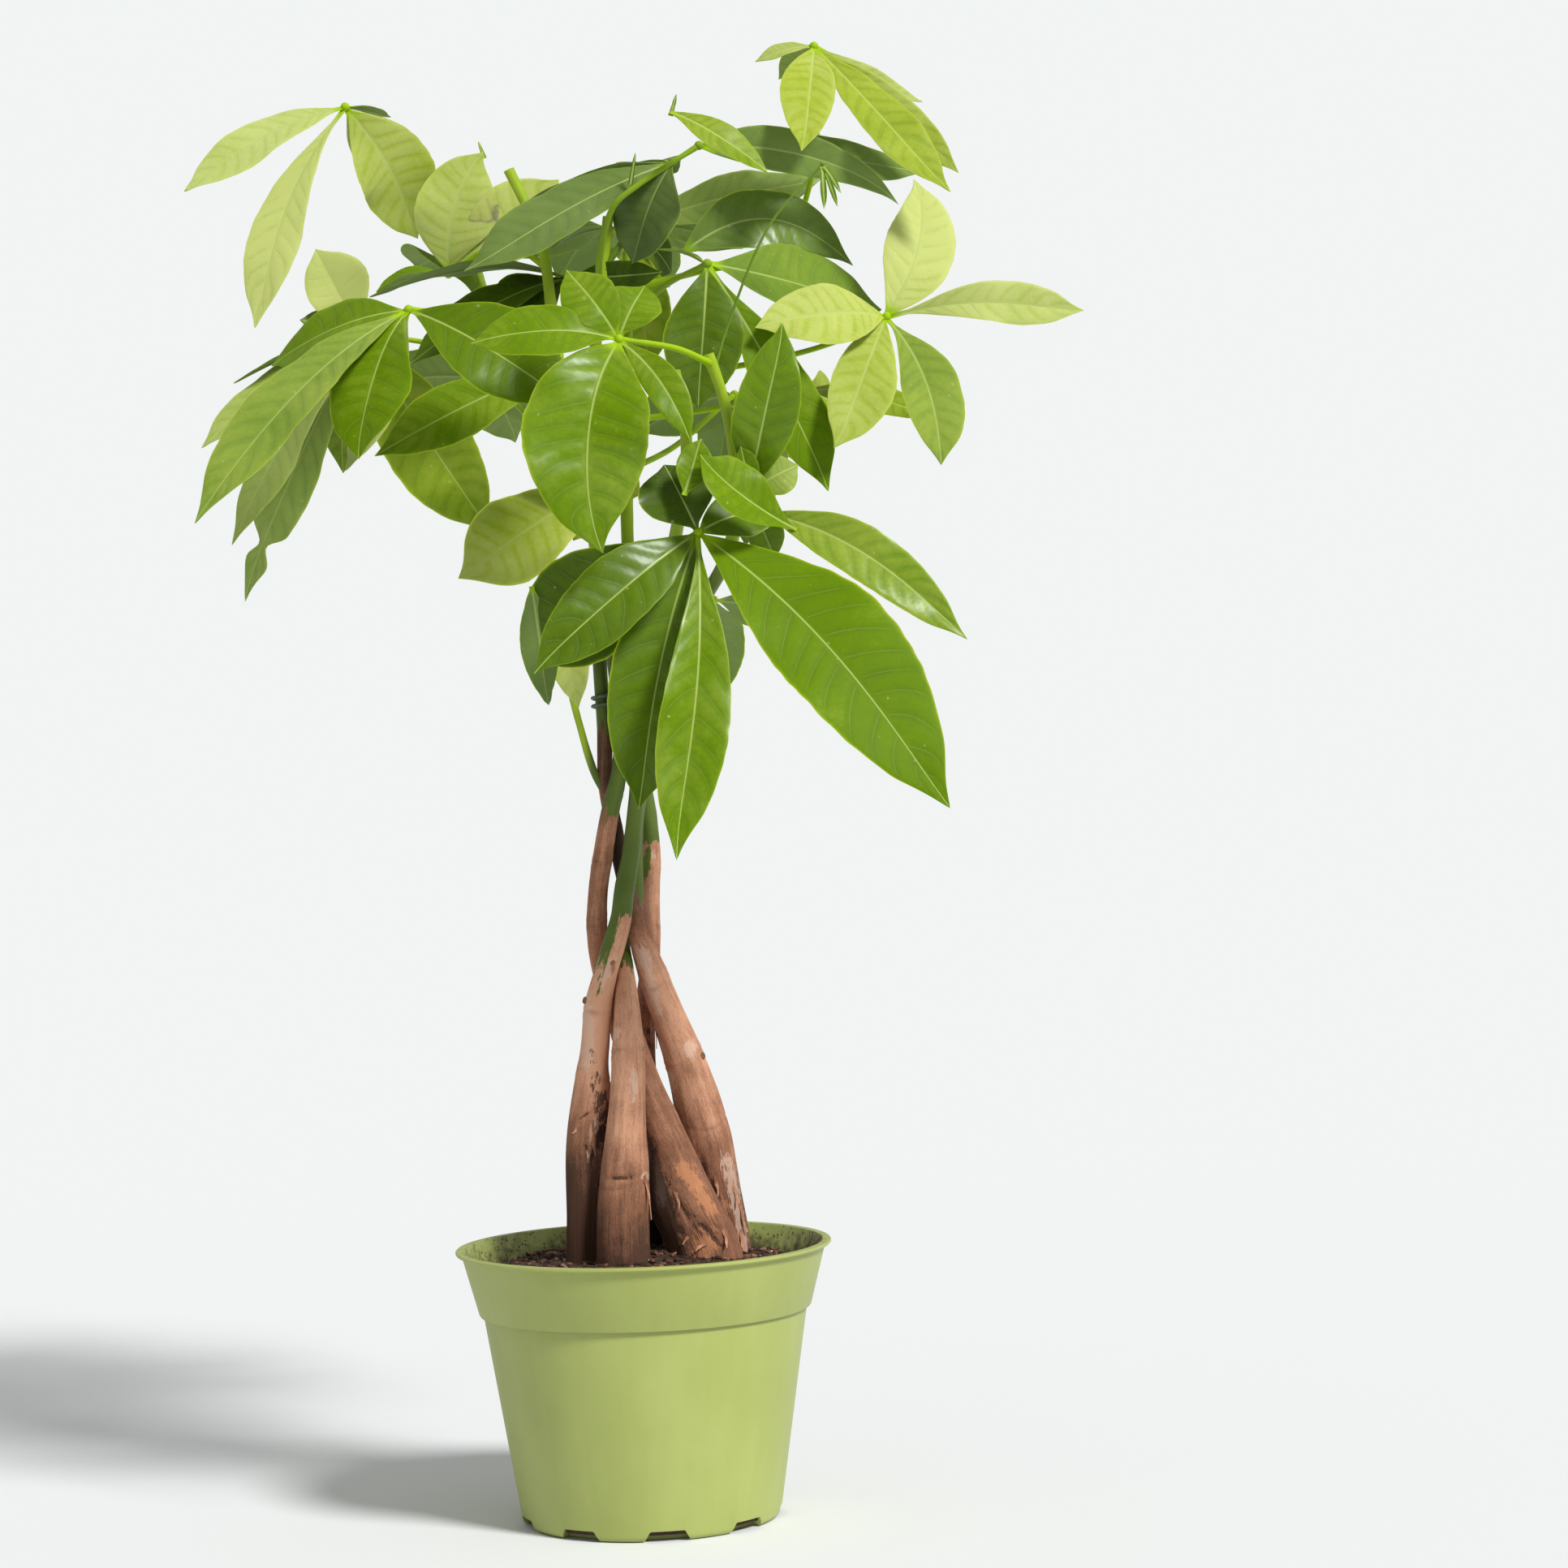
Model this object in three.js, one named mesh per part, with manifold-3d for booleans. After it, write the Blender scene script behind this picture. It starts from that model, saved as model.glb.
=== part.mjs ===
// A potted money tree: five braided stems with palmate leaves in a plain grower's pot.
// Millimetres, +Z up, origin at the middle of the pot's base.

import * as THREE from 'three';
import { mergeVertices } from 'three/addons/utils/BufferGeometryUtils.js';
import Module from 'manifold-3d';

const wasm = await Module();
wasm.setup();

// ---------------------------------------------------------------- driving sizes

const GAP = 0.3; // clearance between pieces that touch on the real plant

const POT = {
  height: 120,
  rimRadius: 82.5,
  bandTopRadius: 80,
  bandBottomRadius: 73,
  bandHeight: 28.5,
  bodyTopRadius: 71,
  baseRadius: 57,
  cornerRadius: 3,
  wall: 1.6,
  floor: 2.4,
  lipHeight: 1.4,
  lipUnderside: 1.2,
  edgeRound: 0.35,
  bandStep: 0.6,
  sides: 36,
};

// The notches that leave a ring of feet round the base.
const NOTCH = { count: 9, width: 21, topWidth: 15, height: 4.6, depth: 7, firstAngle: 8.8 };

const SOIL = { top: 105, heap: 4.5, roughness: 1.1, sides: 18, rings: 3, shoulderReach: 3 };

const STEM = { sides: 9, stepsPerPlace: 1.25 };
const PETIOLE = { sides: 5, startRadius: 1.5, endRadius: 1.1, stepLength: 16 };
const HUB_RADIUS = 2.2;

// A blade swells from a narrow root to its middle and runs out to a point; its margins wave.
const BLADE = {
  thickness: 0.8,
  rootDepth: 1.4,
  stalk: 0.8,
  tip: 0.5,
  lean: 1.05,
  fullness: 0.95,
  wave: 0.035,
  waveStep: 2.2,
  wavePhase: 1.7,
  longBlade: 118,
  middlingBlade: 82,
};

// The eye that the places of stems and leaves are given for: each is [x, depth, z], with x and z
// as they are seen against the plane through the pot's axis, and depth the way behind that plane.
const EYE = new THREE.Vector3(68.3, -1600, 320);

// Stems from the soil up: [x, depth, z, radius]. Each one winds past its neighbours.
const STEMS = {
  stem_left: [
    [-28, -4, 60, 7.1], [-27, -4, 115, 7.1], [-26, -5, 142, 7.2], [-25, -6, 169, 7.0],
    [-22, -7, 188, 6.8], [-19, -8, 204, 6.4], [-16.5, -9.5, 225, 6.0], [-12.6, -11.7, 240, 5.0],
    [-8, -12, 254, 5.0], [-5, -12, 264, 4.6], [-4, -11, 275, 4.6], [-2, -9, 289, 4.3],
    [0, -8, 303, 3.9], [4, -7, 321, 3.5], [7, -5, 345, 3.2], [6, -1, 385, 3.0],
    [3, 8, 430, 2.8], [5, 13, 480, 2.6], [6, 15, 530, 2.4], [7, 15, 556, 2.2],
  ],
  stem_front: [
    [-9, -16, 60, 11.8], [-9, -16, 116, 11.8], [-8, -17, 141, 11.1], [-7, -17, 155, 10.2],
    [-6, -17, 169, 8.9], [-5, -16, 183, 8.0], [-4, -15, 204, 7.0], [-4, -11.5, 225, 5.5],
    [-4.2, -6, 239, 4.0], [-5.2, 2.5, 251, 3.7], [-2.5, 8, 262, 3.8], [1, 10, 273, 3.8],
    [3, 9, 290, 3.8], [5, 8, 310, 3.6], [9, 7, 335, 3.3], [14, 0, 370, 3.1],
    [22, -25, 420, 2.9], [30, -54, 462, 2.7], [29, -67, 489, 2.5], [26, -72, 503, 2.8],
  ],
  stem_centre: [
    [32, -6, 60, 12.4], [31, -6, 110, 12.6], [27, -5, 124, 12.5], [20, -4, 140, 11.8],
    [16, -3, 152, 10.6], [12, -2, 165, 8.8], [3, 0, 189, 7.5], [-5, 1, 214, 6.6],
    [-13, 1.5, 239, 5.4], [-16, 0, 256, 4.6], [-15, -2, 275, 4.3], [-12, -3, 293, 4.3],
    [-8.5, -3, 310, 4.0], [-4, -1, 328, 3.5], [-3, 1, 346, 3.2], [-6, -6, 390, 3.1],
    [-14, -9, 445, 2.9], [-23, -7, 495, 2.7], [-27, -5, 530, 2.5], [-30, -4, 558, 2.4],
    [-36, -4, 576, 2.2], [-44, -5, 594, 2.4],
  ],
  stem_right: [
    [39, 18, 60, 10.4], [37, 18, 112, 10.4], [34, 17, 136, 10.6], [29, 14, 165, 11.2],
    [25, 11, 184, 10.3], [20, 9, 202, 8.6], [14, 6, 220, 7.4], [8, 1, 238, 6.5],
    [3, -3, 254, 5.0], [0, -2.5, 267, 3.8], [-4, 2, 285, 3.6], [-7, 5, 303, 3.6],
    [-10, 6, 324, 3.5], [-10, 7, 346, 3.2], [-11, 6, 380, 3.1], [-11, 5, 430, 3.0],
    [-10, 5, 475, 2.8], [-8, 4, 519, 2.6], [-4, 2, 550, 2.4], [-1, 0, 572, 2.3],
  ],
  stem_back: [
    [1, 16, 60, 7.1], [2, 16, 130, 7.1], [3, 17, 166, 6.2], [3, 18, 202, 5.0],
    [4, 18, 223, 4.6], [7, 18, 245, 4.3], [8, 19, 274, 4.2], [9, 18, 292, 4.1],
    [8, 17, 310, 3.8], [6, 16, 332, 3.5], [14, 12, 362, 3.2], [31, -10, 395, 3.0],
    [47, -40, 422, 3.0], [52, -60, 448, 2.9], [50, -73, 476, 2.8], [46, -79, 495, 2.6],
    [41, -82, 510, 3.0],
  ],
};

// The thin shoot that leaves the right stem and carries one young leaf.
const SIDE_SHOOT_STEM = 'stem_right';
const SIDE_SHOOT = [
  [-10, 6, 318, 1.9], [-15, 4, 328, 1.7], [-21, 0, 350, 1.5], [-26, -3, 374, 1.4],
  [-28, -5, 398, 1.3],
];
const SIDE_SHOOT_FACETS = { sides: 6, steps: 6 };

// Short stubs where old side branches were pruned, each on a stem at [x, depth, z], with the
// way that it points.
const STUBS = [
  { stem: 'stem_left', place: [-20, -10, 227], radius: 2.2, way: [-0.9, -0.2, 0.3] },
  { stem: 'stem_right', place: [26, 7, 201], radius: 2.4, way: [0.9, -0.3, 0.3] },
];
const STUB = { reach: 1.9, tip: 0.8, sides: 6, steps: 2 };

// The wire tie that holds the braid: two turns round the right stem.
const TIE = {
  x: -10,
  depth: 6.4,
  bottom: 355,
  stemRadius: 3.6,
  turns: 2,
  pitch: 3.6,
  wire: 0.8,
  sides: 4,
  stepsPerTurn: 8,
};

// Leaves. petiole: places from the stem to the hub. face: the side its blades look to.
// slimness: how thin the petiole is beside the others.
// Each leaflet: [tip x, tip depth, tip z, width, bow, roll in degrees, fold].
const LEAVES = [
  {
    name: 'leaf_top_left',
    stem: 'stem_centre',
    petiole: [[-30, -4, 558], [-38, 28, 556], [-52, 55, 572], [-85, 58, 610], [-115, 20, 624]],
    face: [-0.3, -0.9, 0.5],
    leaflets: [
      [-187, -10, 589, 22, 4, 10, 0.1], [-158, -5, 528, 28, 5, 0, 0.05],
      [-85, 62, 565, 38, 4, 0, 0.05], [-94, 98, 617, 26, 4, 0, 0.1],
      [-92, 118, 578, 34, 6, 10, 0.05],
    ],
  },
  {
    name: 'leaf_left_upper',
    stem: 'stem_centre',
    petiole: [[-29, -4, 551], [-48, 16, 562], [-72, 30, 549]],
    face: [0.1, -0.9, 0.3],
    leaflets: [
      [-55, 32, 602, 36, 5, 0, 0.05], [-104, 20, 542, 15, 3, 50, 0.5],
      [-22, 30, 589, 34, 4, 10, 0.05], [-86, 85, 552, 32, 6, 40, 0.05],
      [-58, 105, 553, 32, 6, 60, 0.05],
    ],
  },
  {
    name: 'leaf_left_back',
    stem: 'stem_centre',
    petiole: [[-24, -6, 503], [-45, 22, 508], [-82, 38, 519], [-111, 30, 524]],
    face: [-0.4, -0.9, 0.3],
    leaflets: [
      [-130, 15, 562, 29, 5, 0, 0.2], [-162, 22, 505, 16, 3, 60, 0.2],
      [-180, 5, 477, 28, 6, 20, 0.05], [-171, 30, 433, 34, 6, 10, 0.05],
      [-166, 62, 408, 24, 6, -10, 0.05], [-121, 62, 463, 30, 5, 0, 0.05],
      [-57, 12, 434, 40, 4, 0, 0.05],
    ],
  },
  {
    name: 'leaf_left_front',
    stem: 'stem_centre',
    petiole: [[-26, -5, 520], [-45, -30, 528], [-90, -60, 534]],
    face: [-0.3, -0.8, 0.6],
    leaflets: [
      [-187, -118, 443, 33, 12, 0, 0.08], [-114, -92, 469, 30, 8, 0, 0.05],
      [-21, -78, 489, 40, 10, 0, 0.05], [-145, -32, 515, 30, 6, 30, 0.05],
    ],
  },
  {
    name: 'leaf_left_inner',
    stem: 'stem_right',
    petiole: [[-8, 4, 528], [-14, 11, 540], [-19, 12, 546]],
    face: [0.0, -0.8, 0.6],
    leaflets: [
      [-107, -12, 540, 26, 8, 55, 0.05], [-90, 3, 510, 30, 6, 15, 0.05],
      [-45, 16, 518, 34, 4, 0, 0.05],
    ],
  },
  {
    name: 'leaf_centre_left',
    stem: 'stem_centre',
    petiole: [[-22, -7, 490], [-21, -18, 500], [-21, -26, 507]],
    face: [0.0, -0.9, 0.4],
    leaflets: [
      [-107, -36, 470, 29, 6, 0, 0.05], [-22, -48, 446, 32, 6, 0, 0.05],
      [12, -44, 476, 28, 5, 0, 0.05],
    ],
  },
  {
    name: 'leaf_centre_low',
    stem: 'stem_centre',
    petiole: [[-12, -9, 435], [-6, -22, 448], [-1, -30, 456]],
    face: [-0.1, -0.9, 0.4],
    leaflets: [
      [-72, -52, 415, 40, 5, 0, 0.05], [-21, -44, 430, 20, 3, 0, 0.05],
      [9, -42, 449, 14, 2, 20, 0.05],
    ],
  },
  {
    name: 'leaf_top_centre',
    stem: 'stem_right',
    petiole: [[-4, 2, 548], [10, 0, 568], [28, -10, 595]],
    face: [-0.1, -0.8, 0.7],
    leaflets: [
      [-65, -46, 550, 34, 10, 0, 0.08], [-38, -17, 582, 22, 8, 70, 0.1],
      [13, -8, 553, 30, 4, 0, 0.05], [10, 70, 580, 30, 6, 20, 0.05],
    ],
  },
  {
    name: 'leaf_top_inner',
    stem: 'stem_left',
    petiole: [[7, 15, 552], [7, 22, 560], [8, 32, 566]],
    face: [0.1, -0.7, 0.7],
    leaflets: [
      [94, 42, 586, 27, 8, 20, 0.1], [26, 50, 546, 22, 3, 20, 0.05],
      [-26, 38, 559, 22, 4, 40, 0.05], [30, 105, 560, 32, 6, 20, 0.05],
    ],
  },
  {
    name: 'leaf_top_bright',
    stem: 'stem_right',
    petiole: [[-6, 3, 540], [-5, -24, 556], [2, -42, 577], [12, -44, 585], [40, -38, 602]],
    face: [0.2, -0.8, 0.5],
    leaflets: [
      [71, -58, 588, 18, 2, 0, 0.05], [26, -52, 619, 17, 2, 0, 0.05],
      [127, 8, 571, 26, 8, 20, 0.1], [125, 34, 595, 26, 5, 20, 0.05],
    ],
  },
  {
    name: 'leaf_top_right',
    stem: 'stem_left',
    petiole: [[6, 15, 540], [28, 12, 575], [66, 4, 622], [92, -10, 644]],
    face: [0.2, -0.8, 0.5],
    leaflets: [
      [66, -4, 638, 12, 3, 50, 0.1], [82, -36, 597, 24, 4, 0, 0.05],
      [150, -36, 578, 28, 8, 0, 0.05], [139, 14, 618, 17, 5, 50, 0.1],
      [154, 6, 586, 18, 6, 30, 0.05], [76, 30, 630, 13, 3, 50, 0.1],
    ],
  },
  {
    name: 'leaf_young',
    stem: 'stem_back',
    slimness: 0.6,
    petiole: [[43, -80, 501], [50, -76, 522], [70, -80, 566], [94, -78, 592]],
    face: [0.1, -1.0, 0.2],
    leaflets: [
      [94, -82, 572, 3.4, 1, 0, 0.1], [100, -72, 573, 3.0, 1, 0, 0.1],
      [102, -82, 579, 2.6, 1, 0, 0.1],
    ],
  },
  {
    name: 'leaf_right_inner',
    stem: 'stem_left',
    petiole: [[6, 15, 524], [22, -18, 540], [42, -50, 550]],
    face: [0.1, -0.9, 0.5],
    leaflets: [
      [36, -60, 486, 34, 5, 0, 0.05], [92, -46, 448, 30, 7, 0, 0.05],
      [95, -52, 568, 34, 9, 25, 0.1], [105, -34, 547, 22, 8, 20, 0.1],
      [20, -44, 557, 13, 2, 50, 0.05], [119, 38, 528, 32, 7, 10, 0.05],
    ],
  },
  {
    name: 'leaf_right',
    stem: 'stem_left',
    petiole: [[5, 14, 500], [58, 16, 505], [95, -2, 513], [120, -25, 524]],
    face: [0.2, -0.9, 0.4],
    leaflets: [
      [134, 0, 584, 31, 5, 0, 0.05], [207, -32, 524, 19, 5, 20, 0.1],
      [62, -32, 521, 28, 6, 0, 0.05], [95, -62, 467, 28, 5, 0, 0.05],
      [142, -50, 458, 30, 4, 0, 0.05],
    ],
  },
  {
    name: 'leaf_right_back',
    stem: 'stem_left',
    petiole: [[5, 13, 482], [42, 35, 486], [81, 48, 493]],
    face: [0.3, -0.8, 0.5],
    leaflets: [
      [139, 12, 478, 20, 5, 0, 0.05], [62, 85, 462, 30, 6, 10, 0.05],
      [96, 105, 478, 30, 6, 20, 0.05],
    ],
  },
  {
    name: 'leaf_front',
    stem: 'stem_back',
    petiole: [[42, -82, 506], [27, -96, 513], [2, -110, 518]],
    face: [0.0, -1.0, 0.4],
    leaflets: [
      [-8, -138, 424, 51, 12, 0, 0.05], [-20, -102, 549, 24, 4, 0, 0.05],
      [14, -98, 541, 24, 3, 0, 0.05], [-63, -118, 518, 30, 6, 15, 0.05],
      [32, -126, 472, 15, 4, 0, 0.1],
    ],
  },
  {
    name: 'leaf_right_upright',
    stem: 'stem_back',
    petiole: [[52, -55, 441], [55, -68, 445], [57, -78, 449]],
    face: [0.1, -1.0, 0.2],
    leaflets: [
      [74, -92, 523, 27, 6, 0, 0.08], [79, -74, 460, 18, 3, 0, 0.05],
      [54, -90, 469, 12, 2, 0, 0.05], [68, -62, 419, 16, 3, 20, 0.05],
    ],
  },
  {
    name: 'leaf_low_front',
    stem: 'stem_left',
    petiole: [[5, -6, 330], [17, -44, 392], [34, -100, 432]],
    face: [0.2, -0.9, 0.5],
    leaflets: [
      [141, -140, 307, 50, 8, 0, 0.05], [151, -128, 381, 31, 15, 0, 0.1],
      [76, -112, 434, 26, 6, 20, 0.05], [-44, -78, 358, 46, 4, -10, 0.1],
      [-40, -128, 372, 40, 7, 0, 0.05], [4, -106, 311, 37, 5, 0, 0.05],
      [20, -136, 288, 31, 8, 0, 0.1], [26, -118, 468, 34, 8, 0, 0.1],
    ],
  },
  {
    name: 'leaf_side_shoot',
    stem: 'stem_right',
    petiole: [[-28, -5, 392], [-28.5, -6, 400], [-28, -8, 407]],
    face: [-0.2, -0.9, 0.3],
    leaflets: [
      [-21, -26, 356, 18, 4, 0, 0.05], [-40, -20, 360, 12, 3, 30, 0.1],
    ],
  },
  {
    name: 'leaf_back_high',
    stem: 'stem_right',
    petiole: [[-8, 4, 510], [-5, 38, 536], [0, 80, 566]],
    face: [0.0, 0.6, 0.8],
    leaflets: [
      [-52, 112, 556, 32, 8, 0, 0.05], [-25, 160, 545, 36, 10, 0, 0.05],
      [25, 170, 540, 34, 10, 0, 0.05], [58, 118, 556, 30, 8, 0, 0.05],
    ],
  },
  {
    name: 'leaf_back_left',
    stem: 'stem_centre',
    petiole: [[-15, -9, 450], [-30, 30, 474], [-52, 78, 500]],
    face: [-0.4, 0.7, 0.6],
    leaflets: [
      [-112, 108, 500, 30, 7, 0, 0.05], [-88, 156, 480, 34, 8, 0, 0.05],
      [-45, 176, 474, 34, 8, 0, 0.05], [-15, 138, 482, 30, 6, 0, 0.05],
    ],
  },
  {
    name: 'leaf_back_right',
    stem: 'stem_left',
    petiole: [[4, 11, 460], [25, 50, 470], [52, 100, 492]],
    face: [0.4, 0.7, 0.6],
    leaflets: [
      [8, 150, 476, 32, 8, 0, 0.05], [40, 185, 450, 36, 10, 0, 0.05],
      [84, 170, 456, 34, 10, 0, 0.05], [55, 122, 425, 30, 6, 0, 0.05],
    ],
  },
  {
    name: 'leaf_back_low',
    stem: 'stem_back',
    petiole: [[20, 6, 373], [30, 45, 385], [40, 80, 402]],
    face: [0.1, 0.8, 0.6],
    leaflets: [
      [-22, 100, 388, 32, 8, 0, 0.05], [-6, 158, 364, 36, 10, 0, 0.05],
      [32, 178, 352, 36, 10, 0, 0.05], [98, 128, 374, 32, 9, 0, 0.05],
    ],
  },
];

// ---------------------------------------------------------------- materials

const COLOURS = {
  pot: new THREE.MeshStandardMaterial({ color: 0xa9b565, roughness: 0.55, metalness: 0 }),
  soil: new THREE.MeshStandardMaterial({ color: 0x3a2a20, roughness: 1, metalness: 0 }),
  tie: new THREE.MeshStandardMaterial({ color: 0x3f5a44, roughness: 0.5, metalness: 0 }),
  bark: new THREE.MeshStandardMaterial({ color: 0x8a6a4f, roughness: 0.85, metalness: 0 }),
  leaf: new THREE.MeshStandardMaterial({ color: 0x6f9a1c, roughness: 0.45, metalness: 0 }),
};

// ---------------------------------------------------------------- solids and meshes

/** A closed geometry as a solid that can be joined and cut. */
function solidOf(geometry) {
  const bare = geometry.clone();
  bare.deleteAttribute('normal');
  bare.deleteAttribute('uv');
  const merged = mergeVertices(bare, 1e-4);
  const vertProperties = Float32Array.from(merged.attributes.position.array);
  const triVerts = Uint32Array.from(merged.index.array);
  return new wasm.Manifold(new wasm.Mesh({ numProp: 3, vertProperties, triVerts }));
}

/** A solid as a named mesh. */
function meshOf(name, solid, material) {
  const result = solid.getMesh();
  const geometry = new THREE.BufferGeometry();
  geometry.setAttribute('position', new THREE.BufferAttribute(result.vertProperties, 3));
  geometry.setIndex(new THREE.BufferAttribute(result.triVerts, 1));
  geometry.computeVertexNormals();
  const mesh = new THREE.Mesh(geometry, material);
  mesh.name = name;
  return mesh;
}

/** Rings of points, all alike in number, joined into one closed skin with flat ends. */
function skinOf(rings) {
  const sides = rings[0].length;
  const geometry = new THREE.BufferGeometry().setFromPoints(rings.flat());
  const index = [];
  for (let ring = 0; ring < rings.length - 1; ring += 1) {
    for (let side = 0; side < sides; side += 1) {
      const a = ring * sides + side;
      const b = ring * sides + ((side + 1) % sides);
      index.push(a, b, a + sides, b, b + sides, a + sides);
    }
  }
  const last = (rings.length - 1) * sides;
  for (let side = 1; side < sides - 1; side += 1) {
    index.push(0, side + 1, side);
    index.push(last, last + side, last + side + 1);
  }
  geometry.setIndex(index);
  return geometry;
}

/** A place seen at [x, depth, z] from the eye, as a true place. */
function seen([x, depth, z]) {
  const onPlane = new THREE.Vector3(x, 0, z);
  const reach = (depth - EYE.y) / -EYE.y;
  return onPlane.sub(EYE).multiplyScalar(reach).add(EYE);
}

/** A round rod along a smooth line through seen places [x, depth, z, radius]. */
function rodOf(places, sides, steps, extra = 0) {
  const line = new THREE.CatmullRomCurve3(places.map(seen));
  const frames = line.computeFrenetFrames(steps, false);
  const rings = [];
  for (let step = 0; step <= steps; step += 1) {
    const along = line.getUtoTmapping(step / steps);
    const centre = line.getPoint(along);
    const place = along * (places.length - 1);
    const before = Math.min(Math.floor(place), places.length - 2);
    const radius = THREE.MathUtils.lerp(places[before][3], places[before + 1][3], place - before);
    const ring = [];
    for (let side = 0; side < sides; side += 1) {
      const angle = (2 * Math.PI * side) / sides;
      const offset = frames.normals[step].clone().multiplyScalar(Math.cos(angle));
      offset.addScaledVector(frames.binormals[step], Math.sin(angle));
      ring.push(offset.multiplyScalar(radius + extra).add(centre));
    }
    rings.push(ring);
  }
  return skinOf(rings);
}

// ---------------------------------------------------------------- pot and soil

/** Half of the pot's section, from the axis out under the base and back over the floor. */
function potOutline() {
  const bandFoot = POT.height - POT.bandHeight;
  const slope = (POT.bodyTopRadius - POT.baseRadius) / bandFoot;
  const innerBase = POT.baseRadius - POT.wall + slope * POT.floor;
  return [
    [0, 0],
    [POT.baseRadius - POT.cornerRadius, 0],
    [POT.baseRadius - POT.cornerRadius * 0.3, POT.cornerRadius * 0.3],
    [POT.baseRadius + slope * POT.cornerRadius, POT.cornerRadius],
    [POT.bodyTopRadius, bandFoot],
    [POT.bandBottomRadius, bandFoot + POT.bandStep],
    [POT.bandTopRadius, POT.height - POT.lipHeight - POT.lipUnderside],
    [POT.rimRadius, POT.height - POT.lipHeight],
    [POT.rimRadius, POT.height - POT.edgeRound],
    [POT.rimRadius - POT.edgeRound, POT.height],
    [POT.bandTopRadius - POT.wall, POT.height],
    [POT.bandBottomRadius - POT.wall, bandFoot + POT.wall],
    [POT.bodyTopRadius - POT.wall, bandFoot - POT.bandStep],
    [innerBase, POT.floor],
    [0, POT.floor],
  ].map(([radius, height]) => new THREE.Vector2(radius, height));
}

/** A turned body whose outline runs from the axis and back to it, standing along +Z. */
function turned(outline, sides) {
  const geometry = new THREE.LatheGeometry(outline, sides);
  geometry.rotateX(Math.PI / 2);
  return geometry;
}

/** The notch between two feet: a wedge through the edge of the base. */
function notchOf(angle) {
  const half = NOTCH.width / 2;
  const halfTop = NOTCH.topWidth / 2;
  const below = -1;
  const shape = new THREE.Shape([
    new THREE.Vector2(-half, below),
    new THREE.Vector2(half, below),
    new THREE.Vector2(halfTop, NOTCH.height),
    new THREE.Vector2(-halfTop, NOTCH.height),
  ]);
  const reach = 2 * NOTCH.depth;
  const geometry = new THREE.ExtrudeGeometry(shape, { depth: reach, bevelEnabled: false });
  geometry.rotateX(Math.PI / 2);
  geometry.translate(0, -(POT.baseRadius - NOTCH.depth), 0);
  geometry.rotateZ(angle);
  return geometry;
}

/** The pot with a ring of feet left between the notches in its base. */
function potSolid() {
  let pot = solidOf(turned(potOutline(), POT.sides));
  for (let notch = 0; notch < NOTCH.count; notch += 1) {
    const angle = THREE.MathUtils.degToRad(NOTCH.firstAngle + (360 * notch) / NOTCH.count);
    pot = pot.subtract(solidOf(notchOf(angle)));
  }
  return pot;
}

/** Inner radius of the pot's wall at a height. */
function innerRadius(height) {
  const bandFoot = POT.height - POT.bandHeight;
  if (height < bandFoot) {
    const slope = (POT.bodyTopRadius - POT.baseRadius) / bandFoot;
    return POT.baseRadius - POT.wall + slope * height;
  }
  const bandSlope = (POT.bandTopRadius - POT.bandBottomRadius) / POT.bandHeight;
  return POT.bandBottomRadius - POT.wall + bandSlope * (height - bandFoot);
}

/** Height of the soil at a place, heaped a little round the stems. */
function soilHeight(radius, angle) {
  const heap = SOIL.heap * Math.max(0, 1 - (radius / innerRadius(SOIL.top)) ** 2);
  const ripple = Math.sin(3 * angle + radius * 0.11) * Math.cos(2 * angle - radius * 0.17);
  return SOIL.top + heap + SOIL.roughness * ripple;
}

/** The soil that fills the pot, with a plain hole for each stem. */
function soilSolid(holes) {
  const bandFoot = POT.height - POT.bandHeight;
  const floor = POT.floor + GAP;
  const rings = [];
  const ringOf = (radius, heightAt) => {
    const ring = [];
    for (let side = 0; side < SOIL.sides; side += 1) {
      const angle = (2 * Math.PI * side) / SOIL.sides;
      const x = radius * Math.cos(angle);
      ring.push(new THREE.Vector3(x, radius * Math.sin(angle), heightAt(angle)));
    }
    return ring;
  };
  const chord = Math.cos(Math.PI / POT.sides);
  const fit = (height) => (innerRadius(height) - GAP) * chord;
  const shoulder = bandFoot - SOIL.shoulderReach;
  rings.push(ringOf(fit(floor), () => floor));
  rings.push(ringOf(fit(shoulder), () => shoulder));
  rings.push(ringOf(fit(shoulder), () => bandFoot + SOIL.shoulderReach));
  const edge = fit(SOIL.top - 2 * SOIL.roughness);
  for (let ring = SOIL.rings; ring > 0; ring -= 1) {
    const radius = (edge * ring) / SOIL.rings;
    rings.push(ringOf(radius, (angle) => soilHeight(radius, angle)));
  }
  rings.push(ringOf(1, () => soilHeight(0, 0)));
  let soil = solidOf(skinOf(rings));
  for (const hole of holes) {
    soil = soil.subtract(hole);
  }
  return soil;
}

// ---------------------------------------------------------------- stems

/** A stem's rod; extra grows it all round and below, for the hole that it stands in. */
function stemRod(places, extra = 0) {
  const steps = Math.round(places.length * STEM.stepsPerPlace);
  const [[x, depth, bottom, radius], ...rest] = places;
  const lengthened = [[x, depth, bottom - extra, radius], ...rest];
  return solidOf(rodOf(lengthened, STEM.sides, steps, extra));
}

/** The side shoot's rod; extra grows it all round. */
function sideShootRod(extra = 0) {
  const { sides, steps } = SIDE_SHOOT_FACETS;
  return solidOf(rodOf(SIDE_SHOOT, sides, steps, extra));
}

/** What a leaf keeps clear of on the stem that it grows from. */
function stemClearance(name) {
  const clearance = stemRod(STEMS[name], GAP);
  return name === SIDE_SHOOT_STEM ? clearance.add(sideShootRod(GAP)) : clearance;
}

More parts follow.
